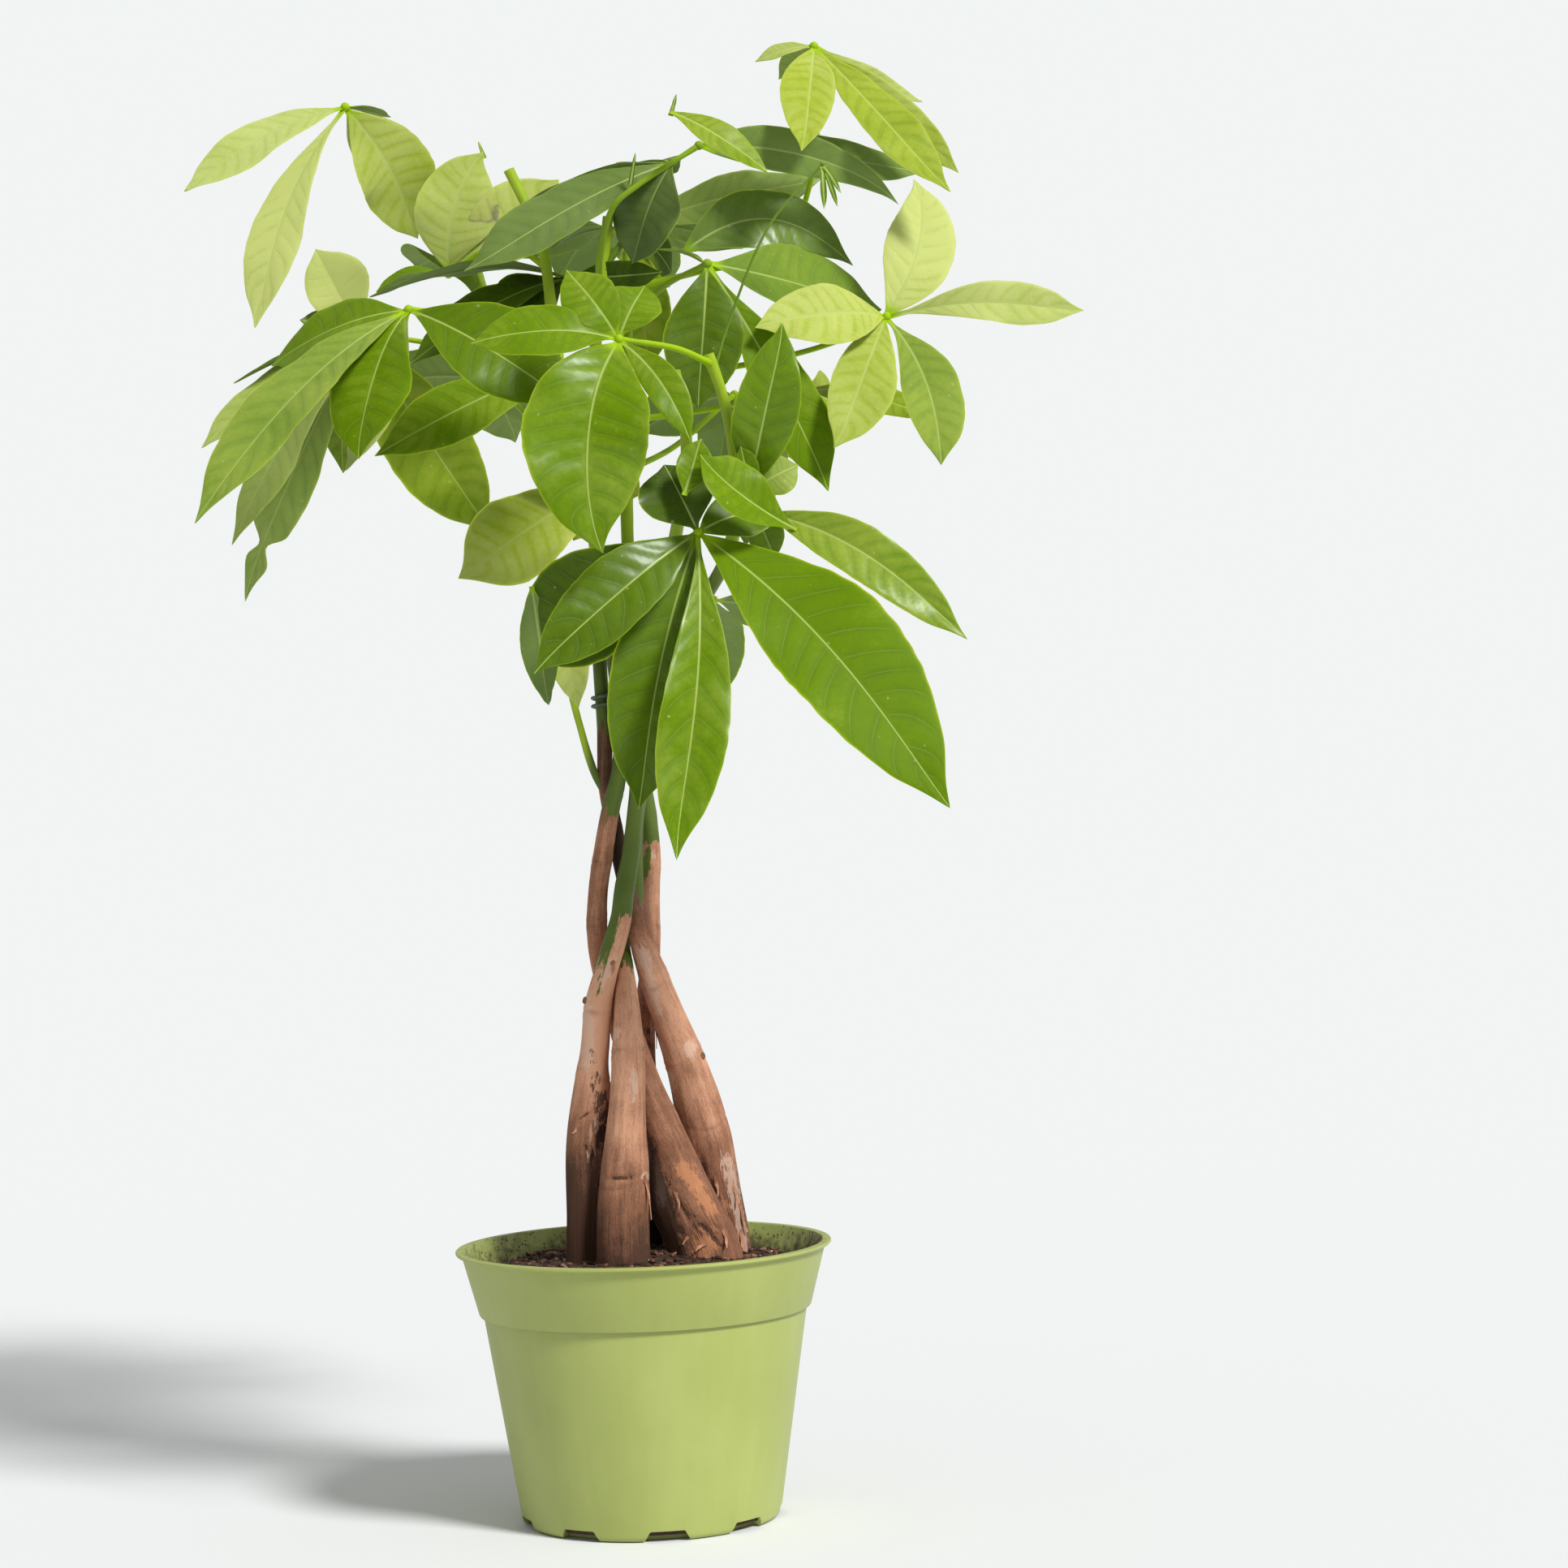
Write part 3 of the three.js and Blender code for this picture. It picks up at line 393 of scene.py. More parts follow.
# Stems from the soil up: (x, depth, z, radius). Each one winds past its neighbours.
STEM_PLACES = {
    "stem_left": (
        (-28, -4, 60, 7.1), (-27, -4, 115, 7.1), (-26, -5, 142, 7.2), (-25, -6, 169, 7.0),
        (-22, -7, 188, 6.8), (-19, -8, 204, 6.4), (-16.5, -9.5, 225, 6.0), (-12.6, -11.7, 240, 5.0),
        (-8, -12, 254, 5.0), (-5, -12, 264, 4.6), (-3.5, -11, 275, 4.4), (-0.5, -9, 289, 3.9),
        (1.5, -8, 303, 3.6), (4, -7, 321, 3.5), (7, -5, 345, 3.2), (6, -1, 385, 3.0),
        (3, 8, 430, 2.8), (5, 13, 480, 2.6), (6, 15, 530, 2.4), (7, 15, 556, 2.2),
    ),
    "stem_front": (
        (-9, -16, 60, 11.8), (-9, -16, 116, 11.8), (-8, -17, 141, 11.1), (-7, -17, 155, 10.2),
        (-6, -17, 169, 8.9), (-5, -16, 183, 8.0), (-4, -15, 204, 7.0), (-4, -11.5, 225, 5.5),
        (-4.2, -6, 239, 4.0), (-5.2, 2.5, 251, 3.7), (-2.5, 8, 262, 3.8), (1, 10, 273, 3.8),
        (1.4, 9.5, 290, 3.7), (3, 9, 310, 3.6), (8.5, 7, 335, 3.3), (14, 0, 370, 3.1),
        (22, -25, 420, 2.9), (30, -54, 462, 2.6), (29, -67, 489, 2.3), (26, -72, 503, 2.5),
    ),
    "stem_centre": (
        (32, -6, 60, 12.4), (31, -6, 110, 12.6), (27, -5, 124, 12.5), (20, -4, 140, 11.8),
        (16, -3, 152, 10.6), (12, -2, 165, 8.8), (3, 0, 189, 7.5), (-5, 1, 214, 6.6),
        (-13, 1.5, 239, 5.4), (-16, 0, 256, 4.6), (-15, -2, 275, 4.3), (-12, -3, 293, 4.3),
        (-8.5, -3, 310, 4.0), (-4, -1, 328, 3.5), (-3, 1, 346, 3.2), (-6, -6, 390, 3.1),
        (-14, -9, 445, 2.9), (-23, -7, 495, 2.7), (-27, -5, 530, 2.5), (-30, -4, 558, 2.4),
        (-36, -4, 576, 2.2), (-44, -5, 594, 2.4),
    ),
    "stem_right": (
        (39, 18, 60, 10.4), (37, 18, 112, 10.4), (34, 17, 136, 10.6), (29, 14, 165, 11.2),
        (25, 11, 184, 10.3), (20, 9, 202, 8.6), (14, 6, 220, 7.4), (8, 1, 238, 6.5),
        (3, -3, 254, 5.0), (0, -2.5, 267, 3.8), (-4, 2, 285, 3.6), (-7, 5, 303, 3.6),
        (-10, 6, 324, 3.5), (-10, 7, 346, 3.2), (-11, 6, 380, 3.1), (-11, 5, 430, 3.0),
        (-10, 5, 475, 2.8), (-8, 4, 519, 2.6), (-4, 2, 550, 2.4), (-1, 0, 572, 2.3),
    ),
    "stem_back": (
        (1, 16, 60, 7.1), (2, 16, 130, 7.1), (3, 17, 166, 6.2), (3, 18, 202, 5.0),
        (4, 18, 223, 4.6), (7, 18, 245, 4.3), (8, 19, 274, 4.2), (9, 18, 292, 4.1),
        (8, 17, 310, 3.8), (6, 16, 332, 3.5), (14, 12, 362, 3.2), (31, -10, 395, 3.0),
        (47, -40, 422, 3.0), (52, -60, 448, 2.8), (50, -73, 476, 2.5), (46, -79, 495, 2.2),
        (41, -82, 510, 2.5),
    ),
}

# The thin shoot that leaves the right stem.
SIDE_SHOOT = (
    (-10, 6, 318, 1.9), (-15, 4, 328, 1.7), (-21, 0, 350, 1.5), (-26, -3, 374, 1.4),
    (-28, -5, 398, 1.3),
)


# ---------------------------------------------------------------- small tools for meshes


def only(obj: bpy.types.Object) -> bpy.types.Object:
    """Selects one object alone and makes it active.

    Args:
        obj: The object to select.

    Returns:
        The same object.
    """
    if bpy.context.mode != "OBJECT":
        bpy.ops.object.mode_set(mode="OBJECT")
    bpy.ops.object.select_all(action="DESELECT")
    obj.select_set(True)
    bpy.context.view_layer.objects.active = obj
    return obj


def applied(obj: bpy.types.Object) -> bpy.types.Object:
    """Selects one object alone and moves its transform into its mesh."""
    only(obj)
    bpy.ops.object.transform_apply(location=True, rotation=True, scale=True)
    return obj


def joined(parts: list[bpy.types.Object], name: str) -> bpy.types.Object:
    """Joins several objects into one.

    Args:
        parts: The objects, of which the first takes in the others.
        name: The name of the whole.

    Returns:
        The whole.
    """
    only(parts[0])
    for part in parts[1:]:
        part.select_set(True)
    if len(parts) > 1:
        bpy.ops.object.join()
    whole = bpy.context.view_layer.objects.active
    whole.name = name
    whole.data.name = name
    return whole


def keep_field(mesh: bpy.types.Mesh, name: str, values: np.ndarray) -> None:
    """Writes a value or a vector for each point of a mesh, for its material to read.

    Args:
        mesh: The mesh.
        name: The attribute's name.
        values: One number, or three, for each point.
    """
    kind = "FLOAT" if values.ndim == 1 else "FLOAT_VECTOR"
    slot = "value" if values.ndim == 1 else "vector"
    attribute = mesh.attributes.new(name=name, type=kind, domain="POINT")
    attribute.data.foreach_set(slot, values.astype(np.float32).ravel())


def rolled_tube(
    name: str, places: np.ndarray, fields: dict[str, np.ndarray], sharp: float = 60.0
) -> bpy.types.Object:
    """Rolls a grid into a closed tube through rings of places.

    Args:
        name: The name of the new object.
        places: Rings of places in millimetres, (rings, points a ring + 1, 3); the last point of
            a ring meets its first.
        fields: Values to keep for each point, shaped like the rings.
        sharp: The angle in degrees past which an edge stays sharp.

    Returns:
        The tube, with closed ends and its faces outwards.
    """
    rings, around = places.shape[0], places.shape[1]
    bpy.ops.mesh.primitive_grid_add(x_subdivisions=around - 1, y_subdivisions=rings - 1, size=1.0)
    tube = bpy.context.view_layer.objects.active
    tube.name = name
    mesh = tube.data
    flat = np.empty(len(mesh.vertices) * 3, np.float32)
    mesh.vertices.foreach_get("co", flat)
    flat = flat.reshape(-1, 3)
    column = np.rint((flat[:, 0] + 0.5) * (around - 1)).astype(int)
    row = np.rint((flat[:, 1] + 0.5) * (rings - 1)).astype(int)
    mesh.vertices.foreach_set("co", (places[row, column] * MM).astype(np.float32).ravel())
    for key, values in fields.items():
        keep_field(mesh, key, values[row, column])
    only(tube)
    bpy.ops.object.mode_set(mode="EDIT")
    bpy.ops.mesh.select_all(action="SELECT")
    bpy.ops.mesh.remove_doubles(threshold=1e-7)
    bpy.ops.mesh.fill_holes(sides=0)
    bpy.ops.mesh.select_all(action="SELECT")
    bpy.ops.mesh.normals_make_consistent(inside=False)
    bpy.ops.object.mode_set(mode="OBJECT")
    bpy.ops.object.shade_smooth_by_angle(angle=math.radians(sharp))
    return tube


def smooth_line(places: list[Vector], shares: np.ndarray) -> tuple[np.ndarray, np.ndarray]:
    """Follows a centripetal Catmull-Rom line through places.

    Args:
        places: The places that the line passes through.
        shares: Where along its length to read it, from 0 to 1.

    Returns:
        The points, and for each the place index that it lies at, as a fraction.
    """
    points = [np.array(place[:3], float) for place in places]
    points.insert(0, 2 * points[0] - points[1])
    points.append(2 * points[-1] - points[-2])
    fine, index = [], []
    for part in range(len(points) - 3):
        p0, p1, p2, p3 = points[part:part + 4]
        gaps = [max(np.linalg.norm(b - a) ** 0.5, 1e-4) for a, b in ((p0, p1), (p1, p2), (p2, p3))]
        m1 = (p1 - p0) / gaps[0] - (p2 - p0) / (gaps[0] + gaps[1]) + (p2 - p1) / gaps[1]
        m2 = (p2 - p1) / gaps[1] - (p3 - p1) / (gaps[1] + gaps[2]) + (p3 - p2) / gaps[2]
        m1, m2 = m1 * gaps[1], m2 * gaps[1]
        for t in np.linspace(0, 1, 24, endpoint=False):
            fine.append(
                (2 * t**3 - 3 * t**2 + 1) * p1
                + (t**3 - 2 * t**2 + t) * m1
                + (3 * t**2 - 2 * t**3) * p2
                + (t**3 - t**2) * m2
            )
            index.append(part + t)
    fine.append(points[-2])
    index.append(len(places) - 1.0)
    fine = np.array(fine)
    run = np.concatenate([[0.0], np.cumsum(np.linalg.norm(np.diff(fine, axis=0), axis=1))])
    wanted = shares * run[-1]
    line = np.stack([np.interp(wanted, run, fine[:, axis]) for axis in range(3)], axis=1)
    return line, np.interp(wanted, run, np.array(index))


def carried_frames(line: np.ndarray) -> tuple[np.ndarray, np.ndarray]:
    """Carries a pair of cross directions along a line without turning about it.

    Args:
        line: The points of the line.

    Returns:
        The two cross directions at each point.
    """
    ways = np.gradient(line, axis=0)
    ways /= np.linalg.norm(ways, axis=1)[:, None]
    first = np.cross(ways[0], (0.0, 1.0, 0.0))
    first /= np.linalg.norm(first)
    firsts = []
    for way in ways:
        first = first - way * np.dot(first, way)
        first /= np.linalg.norm(first)
        firsts.append(first.copy())
    firsts = np.array(firsts)
    return firsts, np.cross(ways, firsts)


def ways_round(line: np.ndarray, around: int) -> np.ndarray:
    """Gives the ways outwards from a line, a ring of them at each of its points.

    Args:
        line: The points of the line.
        around: Ways in a ring, of which the last equals the first.

    Returns:
        The ways, (points of the line, ways in a ring, 3).
    """
    first, second = carried_frames(line)
    angle = np.linspace(0, 2 * np.pi, around)
    return (
        np.cos(angle)[None, :, None] * first[:, None, :]
        + np.sin(angle)[None, :, None] * second[:, None, :]
    )


def soft_step(low: float, high: float, value: np.ndarray) -> np.ndarray:
    """Rises smoothly from 0 at low to 1 at high."""
    share = np.clip((value - low) / (high - low), 0.0, 1.0)
    return share * share * (3 - 2 * share)


# ---------------------------------------------------------------- finishes


class Nodes:
    """Adds nodes to one material or node group, a row at a time."""

    def __init__(self, tree: bpy.types.NodeTree) -> None:
        """Keeps the tree that the nodes go into."""
        self.tree = tree

    def add(self, kind: str, inputs: dict | None = None, **settings) -> bpy.types.Node:
        """Adds a node.

        Args:
            kind: The node's Blender type.
            inputs: A value, or an output to link, for each named or numbered input.
            **settings: Properties of the node.

        Returns:
            The node.
        """
        node = self.tree.nodes.new(kind)
        for key, value in settings.items():
            setattr(node, key, value)
        self.feed(node, inputs or {})
        return node

    def feed(self, node: bpy.types.Node, inputs: dict) -> None:
        """Sets or links some of a node's inputs.

        Args:
            node: The node.
            inputs: A value, or an output to link, for each named or numbered input; None leaves
                an input as it is.
        """
        for key, value in inputs.items():
            if isinstance(value, bpy.types.NodeSocket):
                self.tree.links.new(value, node.inputs[key])
            elif value is not None:
                node.inputs[key].default_value = value

    def place(self) -> bpy.types.NodeSocket:
        """Reads the place on the object, in its own coordinates."""
        return self.add("ShaderNodeTexCoord").outputs["Object"]

    def attribute(self, name: str, out: str = "Fac") -> bpy.types.NodeSocket:
        """Reads a point attribute of the mesh."""
        return self.add("ShaderNodeAttribute", attribute_name=name).outputs[out]

    def maths(self, operation: str, a, b=None, c=None) -> bpy.types.NodeSocket:
        """Computes with one, two or three numbers or outputs."""
        inputs = {0: a, 1: b, 2: c}
        return self.add("ShaderNodeMath", inputs, operation=operation).outputs[0]

    def varied(self, value, pattern, amount: float) -> bpy.types.NodeSocket:
        """Varies a value up and down by a pattern whose middle is a half."""
        return self.maths("MULTIPLY_ADD", self.maths("SUBTRACT", pattern, 0.5), amount, value)

    def span(self, value, low, high, to_low=0.0, to_high=1.0) -> bpy.types.NodeSocket:
        """Maps a value smoothly from one range to another, held at the ends."""
        inputs = {"Value": value, 1: low, 2: high, 3: to_low, 4: to_high}
        node = self.add("ShaderNodeMapRange", inputs, interpolation_type="SMOOTHSTEP")
        return node.outputs[0]

    def noise(self, where, scale: float, detail=3.0, rough=0.5) -> bpy.types.NodeSocket:
        """Reads a noise pattern at a place."""
        inputs = {"Vector": where, "Scale": scale, "Detail": detail, "Roughness": rough}
        return self.add("ShaderNodeTexNoise", inputs).outputs[0]

    def specks(
        self, group: bpy.types.NodeTree, where, amount: float, scale: float
    ) -> bpy.types.NodeSocket:
        """Reads the mask of the shared dirt effect at a place."""
        inputs = {"Vector": where, "Amount": amount, "Scale": scale}
        return self.add("ShaderNodeGroup", inputs, node_tree=group).outputs[0]

    def bump(self, height, strength: float, distance: float) -> bpy.types.NodeSocket:
        """Turns a height into a normal that leans with it."""
        inputs = {"Height": height, "Strength": strength, "Distance": distance}
        return self.add("ShaderNodeBump", inputs).outputs[0]

    def blend(self, share, a, b, mode: str = "MIX") -> bpy.types.NodeSocket:
        """Mixes two colours by a share."""
        inputs = {0: share, 6: a, 7: b}
        return self.add("ShaderNodeMix", inputs, data_type="RGBA", blend_type=mode).outputs[2]

    def ramp(self, value, stops: list[tuple[float, Rgb]]) -> bpy.types.NodeSocket:
        """Turns a value into a colour through a row of stops."""
        node = self.add("ShaderNodeValToRGB", {0: value})
        elements = node.color_ramp.elements
        while len(elements) < len(stops):
            elements.new(0.5)
        for element, (position, colour) in zip(elements, stops):
            element.position = position
            element.color = (*colour, 1.0)
        return node.outputs[0]


def srgb(red: int, green: int, blue: int) -> Rgb:
    """Turns a colour of 0 to 255 steps into linear light."""
    return tuple(
        (value / 255 / 12.92) if value <= 10 else ((value / 255 + 0.055) / 1.055) ** 2.4
        for value in (red, green, blue)
    )


def rgba(colour: Rgb) -> tuple[float, float, float, float]:
    """Adds a full alpha to a colour."""
    return (*colour, 1.0)


def speckle_group() -> bpy.types.NodeTree:
    """Builds the shared effect of fine dirt: a mask of scattered crumbs and smears.

    Returns:
        A node group with the input Amount and Scale, and the output Mask.
    """
    group = bpy.data.node_groups.new("dirt_specks", "ShaderNodeTree")
    for name, default in (("Amount", 0.3), ("Scale", 400.0)):
        group.interface.new_socket(name=name, in_out="INPUT", socket_type="NodeSocketFloat")
        group.interface.items_tree[name].default_value = default
    group.interface.new_socket(name="Vector", in_out="INPUT", socket_type="NodeSocketVector")
    group.interface.new_socket(name="Mask", in_out="OUTPUT", socket_type="NodeSocketFloat")
    nodes = Nodes(group)
    entry = nodes.add("NodeGroupInput")
    leave = nodes.add("NodeGroupOutput")
    ragged = nodes.add(
        "ShaderNodeTexNoise", {"Vector": entry.outputs["Vector"], "Scale": 2400.0, "Detail": 2.0}
    )
    shifted = nodes.add(
        "ShaderNodeVectorMath",
        {0: ragged.outputs["Color"], 1: (0.0012, 0.0012, 0.0012), 2: entry.outputs["Vector"]},
        operation="MULTIPLY_ADD",
    )
    cells = nodes.add(
        "ShaderNodeTexVoronoi", {"Vector": shifted.outputs[0], "Scale": entry.outputs["Scale"]}
    )
    size = nodes.add("ShaderNodeSeparateColor", {0: cells.outputs["Color"]})
    reach = nodes.maths("MULTIPLY", size.outputs[0], 0.45)
    spot = nodes.maths("LESS_THAN", cells.outputs["Distance"], reach)
    chosen = nodes.maths("LESS_THAN", size.outputs[1], entry.outputs["Amount"])
    mask = nodes.maths("MULTIPLY", spot, chosen)
    group.links.new(mask, leave.inputs["Mask"])
    return group


class Finish:
    """A material with one Principled shader, filled in by its own recipe."""

    name = "finish"
    roughness = 0.5

    def material(self) -> bpy.types.Material:
        """Builds the material.

        Returns:
            The new material.
        """
        material = bpy.data.materials.new(self.name)
        material.use_nodes = True
        material.node_tree.nodes.clear()
        nodes = Nodes(material.node_tree)
        shader = nodes.add("ShaderNodeBsdfPrincipled", {"Roughness": self.roughness})
        nodes.add("ShaderNodeOutputMaterial", {0: shader.outputs[0]})
        self.recipe(nodes, shader)
        return material

    def recipe(self, nodes: Nodes, shader: bpy.types.Node) -> None:
        """Fills in the shader; each finish has its own."""
        raise NotImplementedError


@dataclass(frozen=True)
class LeafFinish(Finish):
    """Living leaf: greens by tone, a pale midrib, faint side veins and a paler underside."""

    name: str = "leaf"
    roughness: float = 0.5
    deep: Rgb = srgb(50, 66, 20)
    shaded: Rgb = srgb(78, 102, 14)
    rich: Rgb = srgb(99, 129, 2)
    fresh: Rgb = srgb(151, 165, 52)
    pale: Rgb = srgb(187, 194, 118)
    rib: Rgb = srgb(172, 190, 104)
    stalk: Rgb = srgb(150, 182, 22)
    dark_stalk: Rgb = srgb(96, 124, 40)
    # The paler underside's colour, which haze also lays on the top face as painted grey sheen.
    underside_and_sheen: Rgb = srgb(140, 156, 106)
    dust: Rgb = srgb(196, 204, 150)
    specks: bpy.types.NodeTree | None = field(default=None, compare=False)

    def recipe(self, nodes: Nodes, shader: bpy.types.Node) -> None:
        """Lays tone, mottling, veins, stalk and dust over each other, and a waxy shine on top.

        Args:
            nodes: The material's nodes.
            shader: Its Principled shader.
        """
        place = nodes.place()
        cloudy = nodes.noise(place, 34.0, detail=5.0, rough=0.6)
        fine = nodes.noise(place, 520.0)
        across = nodes.attribute("across")
        beat = nodes.maths("FRACT", nodes.attribute("vein"))
        off_vein = nodes.maths("ABSOLUTE", nodes.maths("SUBTRACT", beat, 0.5))
        clear = nodes.maths(
            "MULTIPLY", nodes.span(across, 0.05, 0.12), nodes.span(across, 0.7, 1.0, 1.0, 0.15)
        )
        vein = nodes.maths("MULTIPLY", nodes.span(off_vein, 0.0, 0.05, 1.0, 0.0), clear)
        shoulder = nodes.maths("MULTIPLY", nodes.span(off_vein, 0.0, 0.3, 1.0, 0.0), clear)
        # The tone is partly each leaflet's own green and partly painted light and shade: deeper for
        # leaflets in shade, paler for backlit ones.
        level = nodes.maths("MULTIPLY_ADD", cloudy, 0.34, nodes.attribute("tone"))
        level = nodes.maths("MULTIPLY_ADD", fine, 0.12, level)
        # Painted shade in the grooves along the side veins.
        level = nodes.maths("MULTIPLY_ADD", shoulder, -0.07, level)
        green = nodes.ramp(
            nodes.maths("MULTIPLY_ADD", level, 0.9, -0.18),
            [(0.0, self.deep), (0.225, self.shaded), (0.45, self.rich), (0.675, self.fresh),
             (0.9, self.pale)],
        )
        rib_width = nodes.maths("MULTIPLY_ADD", nodes.attribute("along"), -0.42, 0.66)
        rib = nodes.span(
            nodes.maths("DIVIDE", nodes.attribute("rib"), rib_width), 0.5, 1.1, 1.0, 0.0
        )
        underside_and_sheen = nodes.attribute("underside_and_sheen")
        stalk = nodes.blend(
            nodes.span(nodes.attribute("tone"), 0.1, 0.5), rgba(self.dark_stalk), rgba(self.stalk)
        )
        specks = nodes.specks(self.specks, place, 0.012, 640.0)
        colour = green
        for share, layer in (
            (nodes.maths("MULTIPLY", vein, 0.12), rgba(self.rib)),
            (nodes.maths("MULTIPLY", rib, 0.7), rgba(self.rib)),
            # The underside's paler green, and painted grey sheen on the top face where haze is set.
            (nodes.maths("MULTIPLY", underside_and_sheen, 0.5), rgba(self.underside_and_sheen)),
            (nodes.attribute("stalk"), stalk),
            (nodes.maths("MULTIPLY", specks, 0.25), rgba(self.dust)),
            (nodes.span(across, 0.965, 1.0, 0.0, 0.3), rgba(self.fresh)),
        ):
            colour = nodes.blend(share, colour, layer)
        dull = nodes.maths("MULTIPLY_ADD", underside_and_sheen, 0.2, self.roughness)
        waxy = nodes.maths("MULTIPLY", nodes.span(cloudy, 0.35, 0.6), nodes.attribute("gloss"))
        groove = nodes.maths("MULTIPLY", nodes.maths("ADD", shoulder, vein), -0.3)
        height = nodes.maths("MULTIPLY_ADD", fine, 0.4, groove)
        look = {
            "Base Color": colour,
            "Roughness": nodes.maths("MULTIPLY_ADD", cloudy, 0.1, dull),
            "Normal": nodes.bump(height, 0.3, 0.0005),
            "Coat Weight": nodes.maths("MULTIPLY", waxy, 0.5),
            "Coat Roughness": 0.3,
            "Subsurface Weight": 0.6,
            "Subsurface Radius": (0.8, 1.0, 0.12),
            "Subsurface Scale": 0.0014,
            "Specular IOR Level": 0.07,
        }
        nodes.feed(shader, look)


@dataclass(frozen=True)
class BarkFinish(Finish):
    """Stem skin: finely streaked brown bark, bare and flaked patches, and green skin above."""

    name: str = "bark"
    roughness: float = 0.72
    split: Rgb = srgb(38, 24, 16)
    dark: Rgb = srgb(84, 58, 44)
    brown: Rgb = srgb(150, 103, 77)
    light: Rgb = srgb(212, 158, 126)
    flaked: Rgb = srgb(218, 188, 168)
    bare: Rgb = srgb(196, 134, 92)
    green: Rgb = srgb(84, 102, 38)
    # The dark colour of painted shade between the stems, with some real dirt at their feet.
    dirt: Rgb = srgb(52, 36, 26)
    young: Rgb = srgb(150, 176, 36)

    def recipe(self, nodes: Nodes, shader: bpy.types.Node) -> None:
        """Lays streaks, patches and the green over each other.

        Args:
            nodes: The material's nodes.
            shader: Its Principled shader.
        """
        grain = nodes.attribute("grain", "Vector")
        place = nodes.place()
        streaks = nodes.noise(grain, 2.3, detail=5.0, rough=0.6)
        broad = nodes.noise(grain, 0.42)
        cloudy = nodes.noise(place, 90.0, detail=4.0)
        fuzz = nodes.noise(place, 1300.0, detail=4.0, rough=0.7)
        torn = nodes.noise(place, 210.0, detail=6.0, rough=0.7)
        coarse = nodes.attribute("coarse")
        # Paleness of the bark, partly its own and partly painted light and shade.
        level = nodes.attribute("age")
        for pattern, amount in ((streaks, 0.6), (fuzz, 0.6), (broad, 0.7), (cloudy, 0.6)):
            level = nodes.varied(level, pattern, amount)
        bark = nodes.ramp(level, [(0.0, self.dark), (0.45, self.brown), (0.95, self.light)])
        ragged = nodes.varied(nodes.maths("MULTIPLY_ADD", torn, 2.2, -1.1), streaks, 2.0)
        for name, colour, share in (
            ("flaked", self.flaked, 0.5), ("bare", self.bare, 0.65), ("split", self.split, 0.8),
            # The dirt marks lay painted shade between the stems, with some real dirt at their feet.
            ("dirt", self.dirt, 0.85),
        ):
            patch = nodes.attribute(name)
            worn = nodes.maths("MULTIPLY", ragged, nodes.span(patch, 0.02, 0.3))
            mask = nodes.span(nodes.maths("ADD", patch, worn), 0.42, 0.62)
            bark = nodes.blend(nodes.maths("MULTIPLY", mask, share), bark, rgba(colour))
        line = nodes.maths("MULTIPLY", nodes.attribute("ring"), 0.55)
        bark = nodes.blend(line, bark, rgba(self.dark))
        green = nodes.attribute("green")
        skin = nodes.blend(nodes.span(green, 1.05, 1.7), rgba(self.green), rgba(self.young))
        mottle = nodes.maths("MULTIPLY_ADD", cloudy, 0.6, 0.7)
        shade = nodes.add("ShaderNodeCombineColor", {0: mottle, 1: mottle, 2: mottle})
        skin = nodes.blend(1.0, skin, shade.outputs[0], "MULTIPLY")
        edge = nodes.varied(green, broad, 1.4)
        edge = nodes.maths("ADD", edge, nodes.maths("MULTIPLY", ragged, 0.35))
        share = nodes.span(edge, 0.46, 0.56)
        rough = nodes.maths("MULTIPLY_ADD", share, -0.3, self.roughness)
        relief = nodes.maths("MULTIPLY_ADD", coarse, 0.8, 0.25)
        relief = nodes.maths("MULTIPLY", relief, nodes.maths("ADD", streaks, broad))
        relief = nodes.maths("MULTIPLY", relief, nodes.maths("MULTIPLY_ADD", share, -0.8, 1.0))
        look = {
            "Base Color": nodes.blend(share, bark, skin),
            "Roughness": nodes.maths("MULTIPLY_ADD", coarse, 0.2, rough),
            "Normal": nodes.bump(relief, 0.55, 0.001),
            "Specular IOR Level": 0.25,
        }
        nodes.feed(shader, look)


